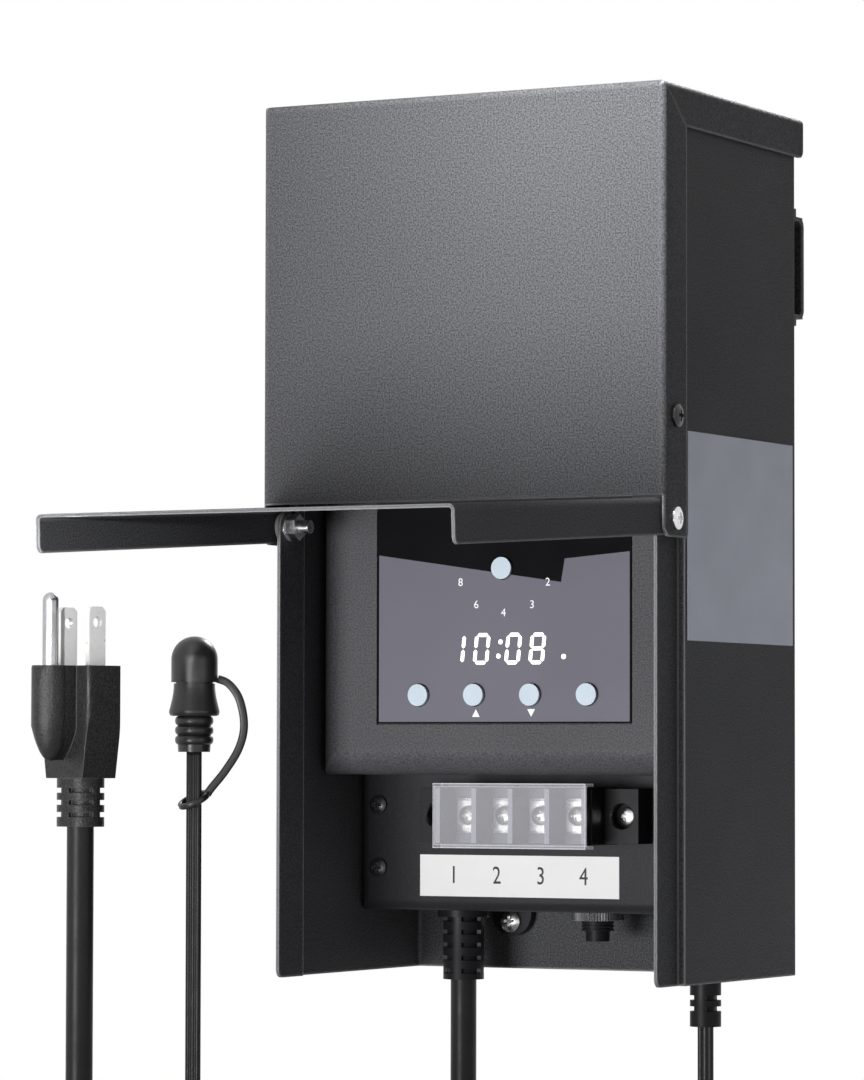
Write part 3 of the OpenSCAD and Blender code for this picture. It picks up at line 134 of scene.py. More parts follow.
def edge_mask(tree, radius, gain):
    """1 along the part's own edges, 0 on its faces, and the normal rounded by that radius."""
    near = tree.nodes.new("ShaderNodeBevel")
    near.samples = 4
    near.inputs["Radius"].default_value = radius
    real = tree.nodes.new("ShaderNodeNewGeometry")
    dot = tree.nodes.new("ShaderNodeVectorMath")
    dot.operation = "DOT_PRODUCT"
    link(tree, near.outputs[0], dot.inputs[0])
    link(tree, real.outputs["Normal"], dot.inputs[1])
    return span(tree, dot.outputs["Value"], 1.0, 0.0, 1 - 1 / gain, 1.0), near.outputs[0]


def material(name, color, rough=0.5, metal=0.0, spec=0.3, coat=0.0, grain=None, cloud=None, painted_edge=None,
             glow=0.0):
    """A principled material with its own surface detail, and painted light along its edges.
    grain: (noise scale, bump strength, depth mm, how much the colour varies with it)
    cloud: (noise scale, how much colour varies, how much roughness varies)
    painted_edge: (edge radius mm, gain, edge colour), painted along the edges: a lighter colour there is a
    painted highlight, a darker one painted shade"""
    m = bpy.data.materials.new(name)
    m.use_nodes = True
    tree = m.node_tree
    p = tree.nodes["Principled BSDF"]
    for key, v in (("Roughness", rough), ("Metallic", metal), ("Specular IOR Level", spec),
                   ("Coat Weight", coat), ("Coat Roughness", 0.15)):
        p.inputs[key].default_value = v
    p.inputs["Base Color"].default_value = (*color, 1)
    if glow:
        p.inputs["Emission Color"].default_value = (*color, 1)
        p.inputs["Emission Strength"].default_value = glow
    shade = normal = None
    place = tree.nodes.new("ShaderNodeTexCoord")
    if cloud:
        fac = noise_fac(tree, place, cloud[0])
        dark, light = shades(color, cloud[1])
        shade = mixed(tree, span(tree, fac, 0, 1), dark, light)
        link(tree, span(tree, fac, rough + cloud[2], rough - cloud[2]), p.inputs["Roughness"])
    # Edge colour painted along the edges: a painted highlight where it is lighter, painted shade where it is
    # darker
    if painted_edge:
        painted_edge_mask, normal = edge_mask(tree, painted_edge[0] * MM, painted_edge[1])
    if grain:
        fac = noise_fac(tree, place, grain[0], 3.0)
        relief = tree.nodes.new("ShaderNodeBump")
        relief.inputs["Strength"].default_value = grain[1]
        relief.inputs["Distance"].default_value = grain[2] * MM
        link(tree, fac, relief.inputs["Height"])
        if normal:
            link(tree, normal, relief.inputs["Normal"])
        normal = relief.outputs["Normal"]
        if grain[3]:
            dark, light = shades(color, grain[3])
            speck = mixed(tree, span(tree, fac, 0, 1, 0.38, 0.62), dark, light)
            if shade is None:
                shade = speck
            else:
                half = tree.nodes.new("ShaderNodeMix")
                half.data_type = "RGBA"
                half.inputs[0].default_value = 0.5
                link(tree, shade, half.inputs[6])
                link(tree, speck, half.inputs[7])
                shade = half.outputs[2]
    if normal:
        link(tree, normal, p.inputs["Normal"])
    # Mix the painted edge highlight or edge shade into the base colour
    if painted_edge:
        shade = mixed(tree, painted_edge_mask, color if shade is None else shade, painted_edge[2])
    if shade is not None:
        link(tree, shade, p.inputs["Base Color"])
    return m


# The pale edge colour paints a highlight along the sheet's bends and edges
PAINT = material("paint", (0.086, 0.087, 0.093), 0.5, 0.0, 0.03, grain=(2000, 0.9, 0.2, 0.8),
                 cloud=(14, 0.05, 0.05), painted_edge=(1.2, 4.5, (0.62, 0.62, 0.64)))
# Lighter edge colours paint a highlight along the edges, darker ones paint shade there
MAT = {
    "enclosure_paint": PAINT,
    "bright_steel": material("bright_steel", (0.70, 0.70, 0.71), 0.24, 1.0, grain=(900, 0.1, 0.05, 0),
                             cloud=(300, 0.15, 0.08), painted_edge=(0.3, 3, (0.9, 0.9, 0.9))),
    "spacer_nylon": material("spacer_nylon", (0.46, 0.45, 0.42), 0.5, cloud=(200, 0.06, 0.08)),
    "black_steel": material("black_steel", (0.016, 0.016, 0.018), 0.28, 0.0, 0.4, cloud=(400, 0.2, 0.08),
                            painted_edge=(0.35, 3, (0.10, 0.10, 0.11))),
    "side_label_film": material("side_label_film", (0.80, 0.83, 0.97), 0.42, 0.0, 0.12,
                                cloud=(60, 0.03, 0.04), painted_edge=(0.2, 3, (0.72, 0.74, 0.84))),
    "grained_black": material("grained_black", (0.074, 0.074, 0.081), 0.46, 0.0, 0.15,
                              grain=(2000, 0.8, 0.2, 0.6), cloud=(20, 0.06, 0.05)),
    "faceplate_print": material("faceplate_print", (0.147, 0.143, 0.174), 0.4, 0.0, 0.12,
                                cloud=(30, 0.03, 0.05), painted_edge=(0.4, 3, (0.03, 0.03, 0.035))),
    "display_black": material("display_black", (0.012, 0.012, 0.014), 0.12, cloud=(90, 0.1, 0.03)),
    "board_green": material("board_green", (0.02, 0.11, 0.05), 0.4, grain=(700, 0.2, 0.1, 0.2)),
    "smooth_black": material("smooth_black", (0.014, 0.014, 0.016), 0.4, 0.0, 0.11,
                             grain=(1800, 0.2, 0.06, 0.15), cloud=(120, 0.08, 0.06),
                             painted_edge=(0.35, 3, (0.04, 0.04, 0.043))),
    "relay_blue": material("relay_blue", (0.02, 0.07, 0.30), 0.35, cloud=(80, 0.1, 0.05)),
    "button_ice": material("button_ice", (0.78, 0.81, 0.87), 0.35, 0.0, 0.2, cloud=(150, 0.03, 0.05)),
    "chassis_black": material("chassis_black", (0.026, 0.026, 0.030), 0.46, 0.0, 0.12,
                              grain=(1500, 0.5, 0.12, 0.22), cloud=(24, 0.06, 0.05)),
    "terminal_steel": material("terminal_steel", (0.66, 0.66, 0.65), 0.28, 1.0, grain=(1200, 0.12, 0.05, 0),
                               cloud=(260, 0.12, 0.08), painted_edge=(0.25, 3, (0.88, 0.88, 0.87))),
    "label_white": material("label_white", (0.90, 0.90, 0.90), 0.45, cloud=(80, 0.012, 0.03)),
    "core_tape": material("core_tape", (0.50, 0.34, 0.06), 0.32, coat=0.5, grain=(160, 0.3, 0.3, 0.12),
                          cloud=(40, 0.1, 0.06)),
    "pad_rubber": material("pad_rubber", (0.014, 0.014, 0.015), 0.55, grain=(900, 0.3, 0.1, 0.2)),
    "cord_jacket": material("cord_jacket", (0.022, 0.022, 0.023), 0.36, 0.0, 0.12, cloud=(160, 0.08, 0.05),
                            grain=(1200, 0.3, 0.1, 0.12)),
    "plug_pvc": material("plug_pvc", (0.017, 0.017, 0.018), 0.36, 0.0, 0.25, grain=(1900, 1.0, 0.18, 0.7),
                         painted_edge=(0.5, 3, (0.12, 0.12, 0.12))),
    "blade_metal": material("blade_metal", (0.88, 0.87, 0.86), 0.32, 0.4, grain=(1400, 0.08, 0.04, 0),
                            cloud=(200, 0.06, 0.06), painted_edge=(0.25, 3, (0.35, 0.35, 0.35))),
    "lead_jacket": material("lead_jacket", (0.016, 0.016, 0.017), 0.32, 0.0, 0.2, cloud=(160, 0.08, 0.05)),
    "sensor_plastic": material("sensor_plastic", (0.021, 0.021, 0.022), 0.36, 0.0, 0.5,
                               cloud=(160, 0.08, 0.06), grain=(900, 0.08, 0.06, 0.06)),
    "cell_red": material("cell_red", (0.3, 0.05, 0.03), 0.15, cloud=(200, 0.15, 0.05)),
}


def clear_material():
    """Clear plastic with a pale haze, and a painted highlight along its cut edges, where it is also less
    clear.
    """
    m = bpy.data.materials.new("clear_plastic")
    m.use_nodes = True
    tree = m.node_tree
    p = tree.nodes["Principled BSDF"]
    p.inputs["Roughness"].default_value = 0.08
    p.inputs["Specular IOR Level"].default_value = 0.3
    painted_edge_mask, _ = edge_mask(tree, 0.8 * MM, 3.5)
    # Whiter and less clear along the edges: a painted highlight
    link(tree, mixed(tree, painted_edge_mask, (0.74, 0.74, 0.80), (0.97, 0.97, 0.98)), p.inputs["Base Color"])
    link(tree, span(tree, painted_edge_mask, 0.26, 0.95, 0.0, 1.0), p.inputs["Alpha"])
    return m


MAT["clear_plastic"] = clear_material()
# NUT and RELIEF get a painted highlight along their edges, PIN gets painted shade there
NUT = material("nut_black", (0.03, 0.03, 0.033), 0.3, 0.0, 0.3, cloud=(400, 0.1, 0.05),
               painted_edge=(0.3, 5, (0.42, 0.42, 0.43)))
RELIEF = material("relief_black", (0.014, 0.014, 0.016), 0.42, 0.0, 0.11, grain=(1800, 0.2, 0.06, 0.15),
                  cloud=(120, 0.08, 0.06), painted_edge=(0.15, 2, (0.02, 0.02, 0.022)))
PIN = material("pin_metal", (0.42, 0.42, 0.43), 0.2, 0.95, grain=(1400, 0.08, 0.04, 0),
               cloud=(200, 0.06, 0.06), painted_edge=(0.25, 3, (0.3, 0.3, 0.3)))
PRINT_BLACK = material("print_black", (0.006, 0.006, 0.007), 0.55, 0.0, 0.02, cloud=(60, 0.1, 0.04))
# White print with a painted glow that keeps it bright
PRINT_WHITE = material("print_white", (0.80, 0.80, 0.82), 0.5, glow=0.25, cloud=(300, 0.03, 0.03))
CELL_GREY = material("cell_grey", (0.25, 0.245, 0.285), 0.45, 0.0, 0.12, cloud=(200, 0.05, 0.04))
CELL_PALE = material("cell_pale", (0.46, 0.455, 0.51), 0.4, 0.0, 0.12, cloud=(200, 0.04, 0.04))
BUTTON_TOP = material("button_top", (0.56, 0.65, 0.73), 0.35, 0.0, 0.2, cloud=(150, 0.03, 0.05))
PRINT_DARK = material("print_dark", (0.02, 0.02, 0.02), 0.5, cloud=(300, 0.1, 0.03))
LIT = material("lit", (1.0, 1.0, 1.0), 0.4, glow=1.6)

# Nodes that look different from the rest of their slot
OWN = {"breaker_nut": NUT, "plug_ground_pin": PIN, "mains_strain_relief": RELIEF, "sensor_gland": RELIEF}
slots = {s["node"]: s["material_slot"] for s in frame["record"]["subparts"]}
for name, node in frame["nodes"].items():
    node.data.materials.clear()
    node.data.materials.append(OWN.get(name, MAT[slots[name]]))


# ---------------------------------------------------------------- small builders
def mesh_piece(name, verts, faces, mat, body="enclosure", smooth=False):
    data = bpy.data.meshes.new(name)
    data.from_pydata([tuple(v) for v in verts], [], faces)
    data.materials.append(mat)
    if smooth:
        data.polygons.foreach_set("use_smooth", [True] * len(data.polygons))
    data.update()
    o = add(name, data)
    if body:
        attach(o, body)
    return o


def unit(v):
    return v.normalized()


def swept(points, outline, first, closed=False):
    """Vertices and faces of an outline [(across, up)] carried along points, turning least.
    first is the way across at the first point."""
    pts = [Vector(p) for p in points]
    n = len(pts)
    ways = []
    for i in range(n):
        a = pts[i] - pts[i - 1] if i or closed else pts[1] - pts[0]
        b = pts[(i + 1) % n] - pts[i] if i < n - 1 or closed else a
        ways.append(unit(unit(a) + unit(b)))
    side = Vector(first)
    verts, faces = [], []
    k = len(outline)
    for p, t in zip(pts, ways):
        side = unit(side - t * side.dot(t))
        up = t.cross(side)
        verts += [p + side * a + up * b for a, b in outline]
    for i in range(n if closed else n - 1):
        i2 = (i + 1) % n
        for j in range(k):
            j2 = (j + 1) % k
            faces.append((i * k + j, i * k + j2, i2 * k + j2, i2 * k + j))
    if not closed:
        faces.append(tuple(range(k))[::-1])
        faces.append(tuple((n - 1) * k + j for j in range(k)))
    return verts, faces


def band_outline(width, thick, edge):
    """Flat band with rounded edges, [(across, up)], across the width."""
    r = thick / 2
    w = width / 2 - r
    ends = []
    for side in (1, -1):
        for q in range(-75, 76, 30):
            a = radians(q + (0 if side > 0 else 180))
            ends.append(((side * w + r * cos(a)) * MM, r * sin(a) * MM))
        ends.append((side * (w - edge) * MM, side * (r - edge * 0.35) * MM))
    return ends


def rounded_path(corners, radii, step):
    """Points along a polyline whose inner corners are arcs of the given radii, about a step apart."""
    pts = [Vector(c) for c in corners]
    out = [pts[0]]

    def run(to):
        start = out[-1]
        d = (to - start).length
        count = max(1, round(d / step))
        for i in range(1, count + 1):
            out.append(start.lerp(to, i / count))

    for i in range(1, len(pts) - 1):
        a, b = unit(pts[i - 1] - pts[i]), unit(pts[i + 1] - pts[i])
        r = radii[i - 1]
        half = a.angle(b) / 2
        reach = r / (sin(half) / cos(half))
        middle = pts[i] + unit(a + b) * (r / sin(half))
        run(pts[i] + a * reach)
        v0, v1 = (pts[i] + a * reach) - middle, (pts[i] + b * reach) - middle
        sweep = v0.angle(v1)
        count = max(3, round(r * sweep / step))
        axis = unit(v0.cross(v1))
        for j in range(1, count + 1):
            out.append(middle + Matrix.Rotation(sweep * j / count, 3, axis) @ v0)
    run(pts[-1])
    return out


COIL_POINTS = 64  # in one turn


def coil(c, r, start, turn, pitch, z):
    """Spiral in, climb one layer in the half turn where it reverses, spiral out.
    pitch is the distance between turns and between layers; the angles are in degrees."""
    way = 1 if turn > 0 else -1
    total = abs(turn) / 360
    level = (total - 0.5) / 2
    count = round(total * COIL_POINTS)
    out = []
    for i in range(count + 1):
        s = i / count * total
        ang = radians(start + way * 360 * s)
        rr = r - pitch * (min(s, level) - max(0, s - level - 0.5))
        lift = min(1, max(0, (s - level) / 0.5))
        lift = lift * lift * (3 - 2 * lift)
        out.append(Vector((c[0] + rr * cos(ang), c[1] + rr * sin(ang), z + pitch * lift)))
    return out


def mm(points):
    """Points in millimetres as vectors in metres."""
    return [Vector(p) * MM for p in points]


def disc(x, y, r, n):
    """The n corners of a circle."""
    return [(x + r * cos(2 * pi * i / n), y + r * sin(2 * pi * i / n)) for i in range(n)]


# ---------------------------------------------------------------- cords
FLOOR = -290.0  # the surface that the tied coils lie on
CORD_D = 8.0
MAINS = dict(exit_at=(-38, -27.5), exit_top=-205, low=CORD_D / 2, coil_at=(-152, -92.5), r=51, start=96.8,
             turn=1253.2, pitch=9.4, end_at=(-104.5, -143.5), end_top=-160, bends=(33, 32), step=2.5)
SENSOR = dict(exit_at=(44, -27.5), exit_top=-222, low=2.5, coil_at=(-66, -70.5), r=29, start=-54.4,
              turn=-1475.6, pitch=5.6, end_at=(-92, -99.5), end_top=-143.6, bends=(12, 12), step=1.6)


def cord_line(way):
    """Down from the box, round the tied coil and up to the free end, in metres."""
    z = FLOOR + way["low"]
    r, a = way["r"], radians(way["start"])
    entry = (way["coil_at"][0] + r * cos(a), way["coil_at"][1] + r * sin(a), z)
    x, y = way["exit_at"]
    first = rounded_path([(x, y, way["exit_top"]), (x, y, z), entry], way["bends"][:1], way["step"])
    turns = coil(way["coil_at"], r, way["start"], way["turn"], way["pitch"], z)
    x, y = way["end_at"]
    last = rounded_path([turns[-1], (x, y, z + way["pitch"]), (x, y, way["end_top"])], way["bends"][1:],
                        way["step"])
    return mm(first[:-1] + turns + last[1:])


mains_pts = cord_line(MAINS)
v, f = swept(mains_pts, disc(0, 0, CORD_D / 2 * MM, 16), (0, 1, 0))
mains = mesh_piece("mains_cord_line", v, f, MAT["cord_jacket"], smooth=True)
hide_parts("mains_cord", "mains_coil", "plug_cord")

CORE_R, CORE_X = 0.95, 1.45  # the three cores of the sensor's cord


def core_arc(middle, start, stop, step):
    return [((middle + CORE_R * cos(radians(q))) * MM, CORE_R * sin(radians(q)) * MM)
            for q in range(start, stop + 1, step)]


# Three cores side by side; the cord's width lies across the view where it hangs
lead_outline = (core_arc(CORE_X, -130, 130, 26) + core_arc(0, 50, 130, 20) + core_arc(-CORE_X, 50, 310, 26)
                + core_arc(0, 230, 310, 20))
sensor_pts = cord_line(SENSOR)
v, f = swept(sensor_pts, lead_outline, (0.88, 0.47, 0))
lead = mesh_piece("sensor_cord_line", v, f, MAT["lead_jacket"], smooth=True)
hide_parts("sensor_cord", "sensor_coil", "sensor_lead")

TIE_GAP, TIE_CORNER, TIE_BAND = 0.8, 0.6, (6, 0.9, 0.5)
CLASP_WAY, CLASP_LIFT, CLASP_BAND = (-2.6, -2.3, 2.3, 2.6), 0.2, (7.4, 2.2, 0.6)


def coil_tie(name, way, inward, half_w, half_h, angle, node):
    """Flat band round the coil's turns, with the small clasp it closes in. inward is how far the turns
    reach in from the outer one, half_w and half_h are half the cord's width and height."""
    a = radians(angle)
    out = Vector((cos(a), sin(a), 0))
    along = Vector((-sin(a), cos(a), 0))
    half_pitch = way["pitch"] / 2
    middle = Vector((*way["coil_at"], FLOOR + half_h + half_pitch)) + out * (way["r"] - inward / 2)
    w = inward / 2 + half_w + TIE_GAP
    h = half_h + TIE_GAP + half_pitch
    corner = min(half_h, half_w) + TIE_CORNER
    pts = []
    for sx, sz, q0 in ((1, 1, 0), (-1, 1, 90), (-1, -1, 180), (1, -1, 270)):
        for q in range(0, 91, 15):
            t = radians(q0 + q)
            pts.append(middle + out * (sx * (w - corner) + corner * cos(t))
                       + Vector((0, 0, sz * (h - corner) + corner * sin(t))))
    v, f = swept(mm(pts), band_outline(*TIE_BAND), along, closed=True)
    tie = mesh_piece(name, v, f, MAT["pad_rubber"], smooth=True)
    top = middle + Vector((0, 0, h + CLASP_LIFT))
    v, f = swept(mm([top + out * d for d in CLASP_WAY]), band_outline(*CLASP_BAND), along)
    clasp = mesh_piece(name + "_clasp", v, f, MAT["pad_rubber"], smooth=True)
    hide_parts(node)
    return tie, clasp


mains_tie = coil_tie("mains_tie_band", MAINS, 14.01, 4, 4, 200, "mains_tie")
sensor_tie = coil_tie("sensor_tie_band", SENSOR, 10.08, 1, 2.3, 20, "sensor_tie")


def smooth_line(points, per_span):
    """Points along a smooth curve through the given ones."""
    p = [Vector(points[0])] + [Vector(q) for q in points] + [Vector(points[-1])]
    out = []
    for i in range(1, len(p) - 2):
        for j in range(per_span):
            t = j / per_span
            out.append(0.5 * (2 * p[i] + (p[i + 1] - p[i - 1]) * t
                              + (2 * p[i - 1] - 5 * p[i] + 4 * p[i + 1] - p[i + 2]) * t * t
                              + (3 * p[i] - p[i - 1] - 3 * p[i + 1] + p[i + 2]) * t * t * t))
    return out + [p[-1]]


# Smooth lobe over the facets on the plug's ground side
PLUG_AT = Vector((*MAINS["end_at"], -151.8))
PLUG_TURN = Matrix.Rotation(radians(-17), 3, "Z")
LOBE_R, LOBE_Y, LOBE_SIDES = 5.55, -11.9, 48
TIP_TOP, TIP_H, TIP_ROWS = 15.2, 10.2, 14


def lobe_profile():
    """(radius, height) from the rim below the pins down to the tip."""
    profile = [(LOBE_R - 0.5, 32.85), (LOBE_R - 0.12, 32.7), (LOBE_R, 32.3), (LOBE_R, 25), (LOBE_R, TIP_TOP)]
    for k in range(1, TIP_ROWS + 1):
        part = k / TIP_ROWS
        a = part * pi / 2
        profile.append((LOBE_R * (0.55 * cos(a) + 0.45 * (1 - part)), TIP_TOP - TIP_H * sin(a) ** 1.25))
    return profile


def plug_lobe_mesh():
    """The profile turned round its own axis, flat at the rim and closed in a point at the tip."""
    profile = lobe_profile()
    verts = [PLUG_AT + PLUG_TURN @ Vector((x, y, z)) for r, z in profile[:-1]
             for x, y in disc(0, LOBE_Y, r, LOBE_SIDES)]
    verts.append(PLUG_AT + PLUG_TURN @ Vector((0, LOBE_Y, profile[-1][1])))
    pairs = [(j, (j + 1) % LOBE_SIDES) for j in range(LOBE_SIDES)]
    starts = [i * LOBE_SIDES for i in range(len(profile) - 1)]
    faces = [(a + j2, a + j, b + j, b + j2) for a, b in zip(starts, starts[1:]) for j, j2 in pairs]
    faces += [(starts[-1] + j2, starts[-1] + j, len(verts) - 1) for j, j2 in pairs]
    faces.append(tuple(range(LOBE_SIDES)))
    return mm(verts), faces


v, f = plug_lobe_mesh()
plug_lobe = mesh_piece("plug_lobe", v, f, MAT["plug_pvc"], smooth=True)

# Strap from the sensor's cap to a loop round its cord, its points as (along STRAP_WAY, up)
SENSOR_AT = Vector((*SENSOR["end_at"], 0))
STRAP_WAY = Vector((0.883, 0.469, 0))
STRAP = [(7, -122), (10.4, -123.5), (13.6, -128.2), (15, -135.9), (13.5, -142.8), (9.5, -149.5),
         (5.2, -154.9), (4.0, -156.7)]
LOOP_R, LOOP_Z = 4.5, -158.4
LOOP_TURN = (Matrix.Rotation(radians(28), 4, "Z") @ Matrix.Rotation(radians(-24), 4, "Y")
             @ Matrix.Rotation(radians(14), 4, "X"))
strap_pts = [SENSOR_AT + STRAP_WAY * d + Vector((0, 0, z)) for d, z in STRAP]
v, f = swept(mm(smooth_line(strap_pts, 8)), band_outline(2.5, 1.5, 0.45), (0, 0, 1))
loop_at = SENSOR_AT + Vector((0, 0, LOOP_Z))
loop_pts = [loop_at + LOOP_TURN @ Vector((x, y, 0)) for x, y in disc(0, 0, LOOP_R, 48)]
v2, f2 = swept(mm(loop_pts), band_outline(1.9, 1.3, 0.4), LOOP_TURN @ Vector((0, 0, 1)), closed=True)
n = len(v)
strap = mesh_piece("cap_strap_band", v + v2, f + [tuple(n + i for i in q) for q in f2],
                   MAT["sensor_plastic"], body=None, smooth=True)
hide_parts("cap_strap")
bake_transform(strap)


# ---------------------------------------------------------------- the timer's face
BUTTONS = ("menu_button", "enter_button", "up_button", "down_button", "clock_button")
BOX_LOW = -211  # the box's lower edge; heights on its front are measured from it
TIMER_Y = -75.5
PRINT_T, ZONE_T, BORDER_W, BORDER_T = 0.06, 0.08, 0.5, 0.1
ZONE = [(-41.9, 126.2), (19.3, 117.3), (20.5, 124.2), (42.2, 126.0), (42.2, 141.3), (-41.9, 141.3)]
HOURS = [("8", -14.1, 117.6), ("2", 15, 117.3), ("6", -8.8, 110.9), ("3", 9.8, 110.7), ("4", 0.3, 108.4)]
HOUR_H = 2.35
CAP_SHARE = 0.7  # height of a capital as a share of the font's size


def plate(name, outline, y, thick, mat, body="enclosure"):
    """A flat sign cut to an outline [(x, z)] in mm, facing the front."""
    n = len(outline)
    area = sum(a[0] * b[1] - b[0] * a[1] for a, b in zip(outline, outline[1:] + outline[:1]))
    pts = outline if area > 0 else outline[::-1]
    verts = mm([(x, y - thick, z) for x, z in pts] + [(x, y, z) for x, z in pts])
    faces = [tuple(range(n)), tuple(range(2 * n - 1, n - 1, -1))]
    faces += [(i, n + i, n + (i + 1) % n, (i + 1) % n) for i in range(n)]
    return mesh_piece(name, verts, faces, mat, body)


def words(name, text, x, z, height, y, mat, squeeze=1.0):
    """Printed characters, centred, facing the front."""
    data = bpy.data.curves.new(name, "FONT")
    data.body = text
    data.align_x = "CENTER"
    data.align_y = "CENTER"
    data.size = height * MM / CAP_SHARE
    data.extrude = 0.00004
    data.resolution_u = 3
    o = add(name, data)
    o.matrix_world = (Matrix.Translation(Vector((x, y, z)) * MM) @ Matrix.Rotation(pi / 2, 4, "X")
                      @ Matrix.Diagonal((squeeze, 1, 1, 1)))
    data.materials.append(mat)
    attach(o, "enclosure")


def border(name, x0, x1, z0, z1, width, y, thick, mat):
    """Thin frame round a rectangle."""
    outer = [(x0, z0), (x1, z0), (x1, z1), (x0, z1)]
    inner = [(x0 + width, z0 + width), (x1 - width, z0 + width), (x1 - width, z1 - width),
             (x0 + width, z1 - width)]
    verts = mm([(x, yy, z) for yy in (y - thick, y) for x, z in outer + inner])
    faces = []
    for i in range(4):
        j = (i + 1) % 4
        faces += [(i, j, 4 + j, 4 + i), (8 + j, 8 + i, 12 + i, 12 + j), (j, i, 8 + i, 8 + j),
                  (4 + i, 4 + j, 12 + j, 12 + i)]
    mesh_piece(name, verts, faces, mat)


def triangle(name, x, z, up):
    half, rise = 1.25, 1.25 * up * 0.9
    plate(name, [(x - half, z - rise), (x + half, z - rise), (x, z + rise)], TIMER_Y, PRINT_T, PRINT_WHITE)


plate("face_top_zone", [(x, z + BOX_LOW) for x, z in ZONE], TIMER_Y, ZONE_T, PRINT_BLACK)
face_low, face_high = (Vector(p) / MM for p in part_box("faceplate"))
border("face_border", face_low.x, face_high.x, face_low.z, face_high.z, BORDER_W, TIMER_Y, BORDER_T,
       PRINT_BLACK)
for k, (hour, x, z) in enumerate(HOURS):
    words(f"hours_{k}", hour, x, z + BOX_LOW, HOUR_H, TIMER_Y - PRINT_T, PRINT_WHITE)
triangle("mark_up", -8.9, 78.7 + BOX_LOW, 1)
triangle("mark_down", 9.5, 78.7 + BOX_LOW, -1)

# Discs on the buttons that leave a paler rim
BUTTON_DISC = 0.78  # of the button's radius
for node in BUTTONS:
    low, high = (Vector(p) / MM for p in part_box(node))
    x, z, r = (low.x + high.x) / 2, (low.z + high.z) / 2, (high.x - low.x) / 2
    plate(node + "_top", disc(x, z, BUTTON_DISC * r, 32), low.y, 0.05, BUTTON_TOP,
          node + "_part")

# Lit digits, seven slanted bars each: where a bar starts, and whether it lies flat
SEGMENTS = {"1": "bc", "0": "abcdef", "8": "abcdefg"}
DIGIT_W, DIGIT_H, BAR, BAR_GAP, SLANT = 4.0, 8.25, 1.1, 0.22, 0.1
DIGIT_LOW = 93.65 + BOX_LOW


def digit(name, char, x):
    h, w, b, g = DIGIT_H / 2, DIGIT_W, BAR / 2, BAR_GAP
    spots = {"a": (0, DIGIT_H, 1), "g": (0, h, 1), "d": (0, 0, 1),
             "f": (0, h, 0), "b": (w, h, 0), "e": (0, 0, 0), "c": (w, 0, 0)}
    verts, faces = [], []
    for seg in SEGMENTS[char]:
        sx, sz, flat = spots[seg]
        if flat:
            pts = [(sx + g, sz), (sx + b + g, sz + b), (sx + w - b - g, sz + b), (sx + w - g, sz),
                   (sx + w - b - g, sz - b), (sx + b + g, sz - b)]
        else:
            pts = [(sx, sz + g), (sx - b, sz + b + g), (sx - b, sz + h - b - g), (sx, sz + h - g),
                   (sx + b, sz + h - b - g), (sx + b, sz + b + g)]
        base = len(verts)
        n = len(pts)
        verts += mm([(x + px + SLANT * pz, y, DIGIT_LOW + pz) for y in (TIMER_Y - PRINT_T, TIMER_Y)
                     for px, pz in pts])
        faces += [tuple(base + i for i in range(n)), tuple(base + n + i for i in reversed(range(n)))]
        faces += [(base + i, base + n + i, base + n + (i + 1) % n, base + (i + 1) % n) for i in range(n)]
    mesh_piece(name, verts, faces, LIT)


def dot(name, x, z, r):
    plate(name, disc(x, z + BOX_LOW, r, 20), TIMER_Y, PRINT_T, LIT)


for k, (char, x) in enumerate((("1", -17.6), ("0", -9.4), ("0", 1.1), ("8", 9.1))):
    digit(f"digit_{k}", char, x)
dot("colon_high", -0.7, 99.8, 0.7)
dot("colon_low", -1.4, 95.6, 0.7)
dot("half_day_dot", 20.2, 95.3, 0.75)


# ---------------------------------------------------------------- terminals and bumpers
LABEL_Y, NUMBER_Z, NUMBER_H = -47.83, 29.6 + BOX_LOW, 5.3
for k, x in enumerate([-30.8, -16.1, -1.2, 13.2]):
    words(f"terminal_number_{k + 1}", str(k + 1), x, NUMBER_Z, NUMBER_H, LABEL_Y, PRINT_DARK,
          squeeze=0.8)

# Pale moulding that lines the terminals' cells and caps their dividers
TERMINALS_X, TERMINAL_PITCH = -1, 12.2
CELL_Z, CELL_T = (-171.1, -154.7), 0.12
CELL_Y, CELL_HALF = -58.02, 5.25
CAP_Y, CAP_HALF = -68.52, 0.78


def slab(name, place, half, y, mat):
    """place counts the pitches from the middle of the terminals."""
    x = TERMINALS_X + place * TERMINAL_PITCH
    z0, z1 = CELL_Z
    plate(name, [(x - half, z0), (x + half, z0), (x + half, z1), (x - half, z1)], y, CELL_T, mat)


for k in range(4):
    slab(f"cell_floor_{k + 1}", k - 1.5, CELL_HALF, CELL_Y, CELL_GREY)
for k in range(5):
    slab(f"divider_cap_{k + 1}", k - 2, CAP_HALF, CAP_Y, CELL_PALE)

# Rubber bumpers on the steps behind the cover's ears
BUMPER_X, BUMPER_Y, BUMPER_Z = 64.35, -87.8, (-82, -81.6, -60.4, -60)
for side, word in ((1, "right"), (-1, "left")):
    v, f = swept(mm([(side * BUMPER_X, BUMPER_Y, z) for z in BUMPER_Z]), band_outline(3.1, 1.1, 0.2),
                 (1, 0, 0))
    mesh_piece("hinge_bumper_" + word, v, f, MAT["pad_rubber"], smooth=True)


# ---------------------------------------------------------------- light and surroundings
def softbox(name, place, target, size, power, spread=180):
    """A lamp that faces target; size in metres, power in watts, spread in degrees."""
    data = bpy.data.lights.new(name, "AREA")
    data.shape = "RECTANGLE"
    data.size, data.size_y = size
    data.energy = power
    data.spread = radians(spread)
    turn = unit(Vector(place) - Vector(target)).to_track_quat("Z", "Y").to_matrix()
    add(name, data).matrix_world = Matrix.Translation(place) @ turn.to_4x4()


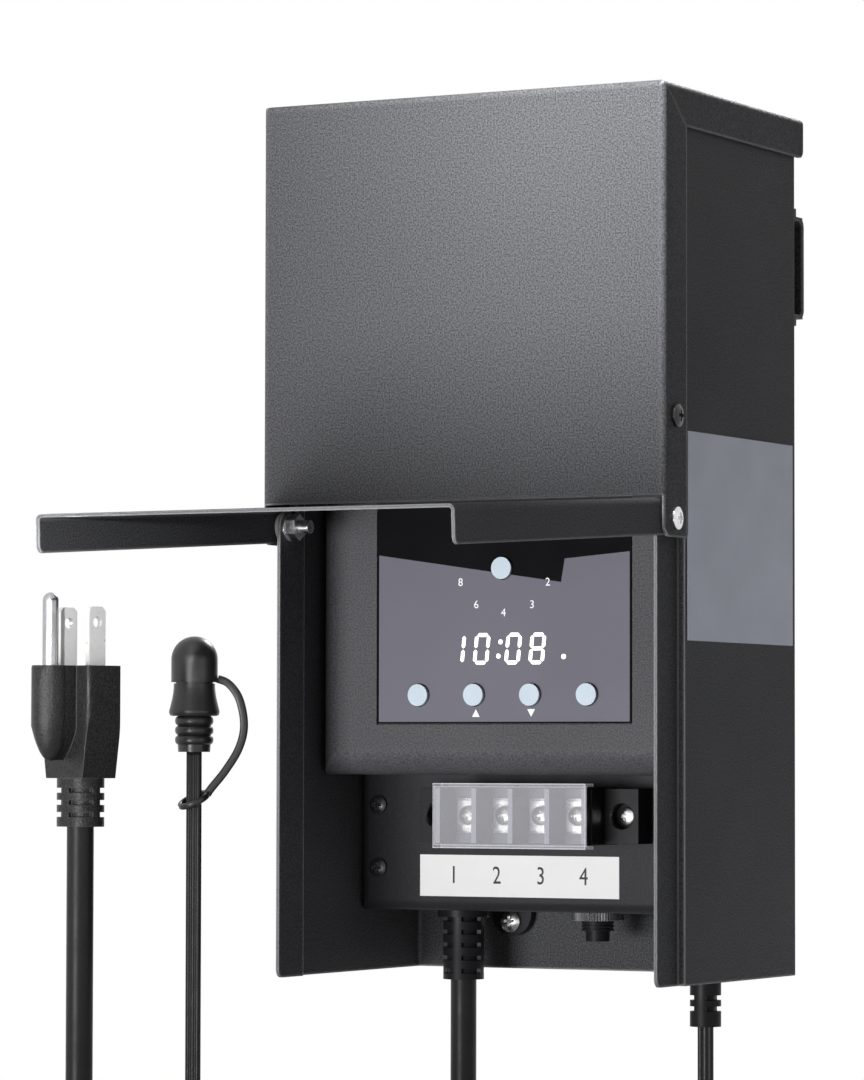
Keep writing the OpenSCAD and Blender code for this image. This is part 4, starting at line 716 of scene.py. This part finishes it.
softbox("key", (0.01, -0.5, 0.45), (0.06, -0.1, 0.1), (0.1, 0.1), 0.45, 33)
softbox("front", (-0.25, -1.4, -0.4), (0, -0.06, -0.13), (0.6, 0.5), 19.5)
softbox("plug", (0.35, -1.2, -0.1), (-0.125, -0.155, -0.095), (0.02, 0.02), 0.028, 7)
softbox("rim", (-0.12, 1.0, 0.6), (0.05, -0.05, 0.05), (0.35, 0.3), 8)

WORLD_GREY, WORLD_LIGHT = 0.8, 0.2


def white_world():
    """Dim grey light all round, and a white backdrop that shows to the camera and in metal and glass."""
    w = bpy.data.worlds.new("world")
    scene.world = w
    w.use_nodes = True
    tree = w.node_tree
    base = tree.nodes["Background"]
    base.inputs["Color"].default_value = (WORLD_GREY, WORLD_GREY, WORLD_GREY, 1)
    base.inputs["Strength"].default_value = WORLD_LIGHT
    seen = tree.nodes.new("ShaderNodeBackground")
    seen.inputs["Color"].default_value = (1, 1, 1, 1)
    seen.inputs["Strength"].default_value = 1.0
    ray = tree.nodes.new("ShaderNodeLightPath")
    mix = tree.nodes.new("ShaderNodeMixShader")
    last = ray.outputs["Is Camera Ray"]
    for kind in ("Is Glossy Ray", "Is Transmission Ray"):
        either = tree.nodes.new("ShaderNodeMath")
        either.operation = "MAXIMUM"
        link(tree, last, either.inputs[0])
        link(tree, ray.outputs[kind], either.inputs[1])
        last = either.outputs[0]
    link(tree, last, mix.inputs[0])
    link(tree, base.outputs[0], mix.inputs[1])
    link(tree, seen.outputs[0], mix.inputs[2])
    link(tree, mix.outputs[0], tree.nodes["World Output"].inputs["Surface"])


FLOOR_AT, FLOOR_R, FLOOR_DROP = (-0.04, -0.07), 0.4, 0.0012
FLOOR_GLOW = 0.5


def floor_disc():
    """The surface under the coils, a little below the ties.
    It glows to the camera alone, so that it stays pale in every view."""
    verts = [(x, y, FLOOR * MM - FLOOR_DROP) for x, y in disc(*FLOOR_AT, FLOOR_R, 64)]
    data = bpy.data.meshes.new("floor")
    data.from_pydata(verts, [], [tuple(range(len(verts)))])
    pale = material("floor", (0.85, 0.85, 0.85), 0.9)
    tree = pale.node_tree
    p = tree.nodes["Principled BSDF"]
    ray = tree.nodes.new("ShaderNodeLightPath")
    glow = tree.nodes.new("ShaderNodeMath")
    glow.operation = "MULTIPLY"
    glow.inputs[1].default_value = FLOOR_GLOW
    link(tree, ray.outputs["Is Camera Ray"], glow.inputs[0])
    p.inputs["Emission Color"].default_value = (1, 1, 1, 1)
    link(tree, glow.outputs[0], p.inputs["Emission Strength"])
    data.materials.append(pale)
    add("floor", data)


white_world()
floor_disc()
scene.view_settings.view_transform = "Standard"
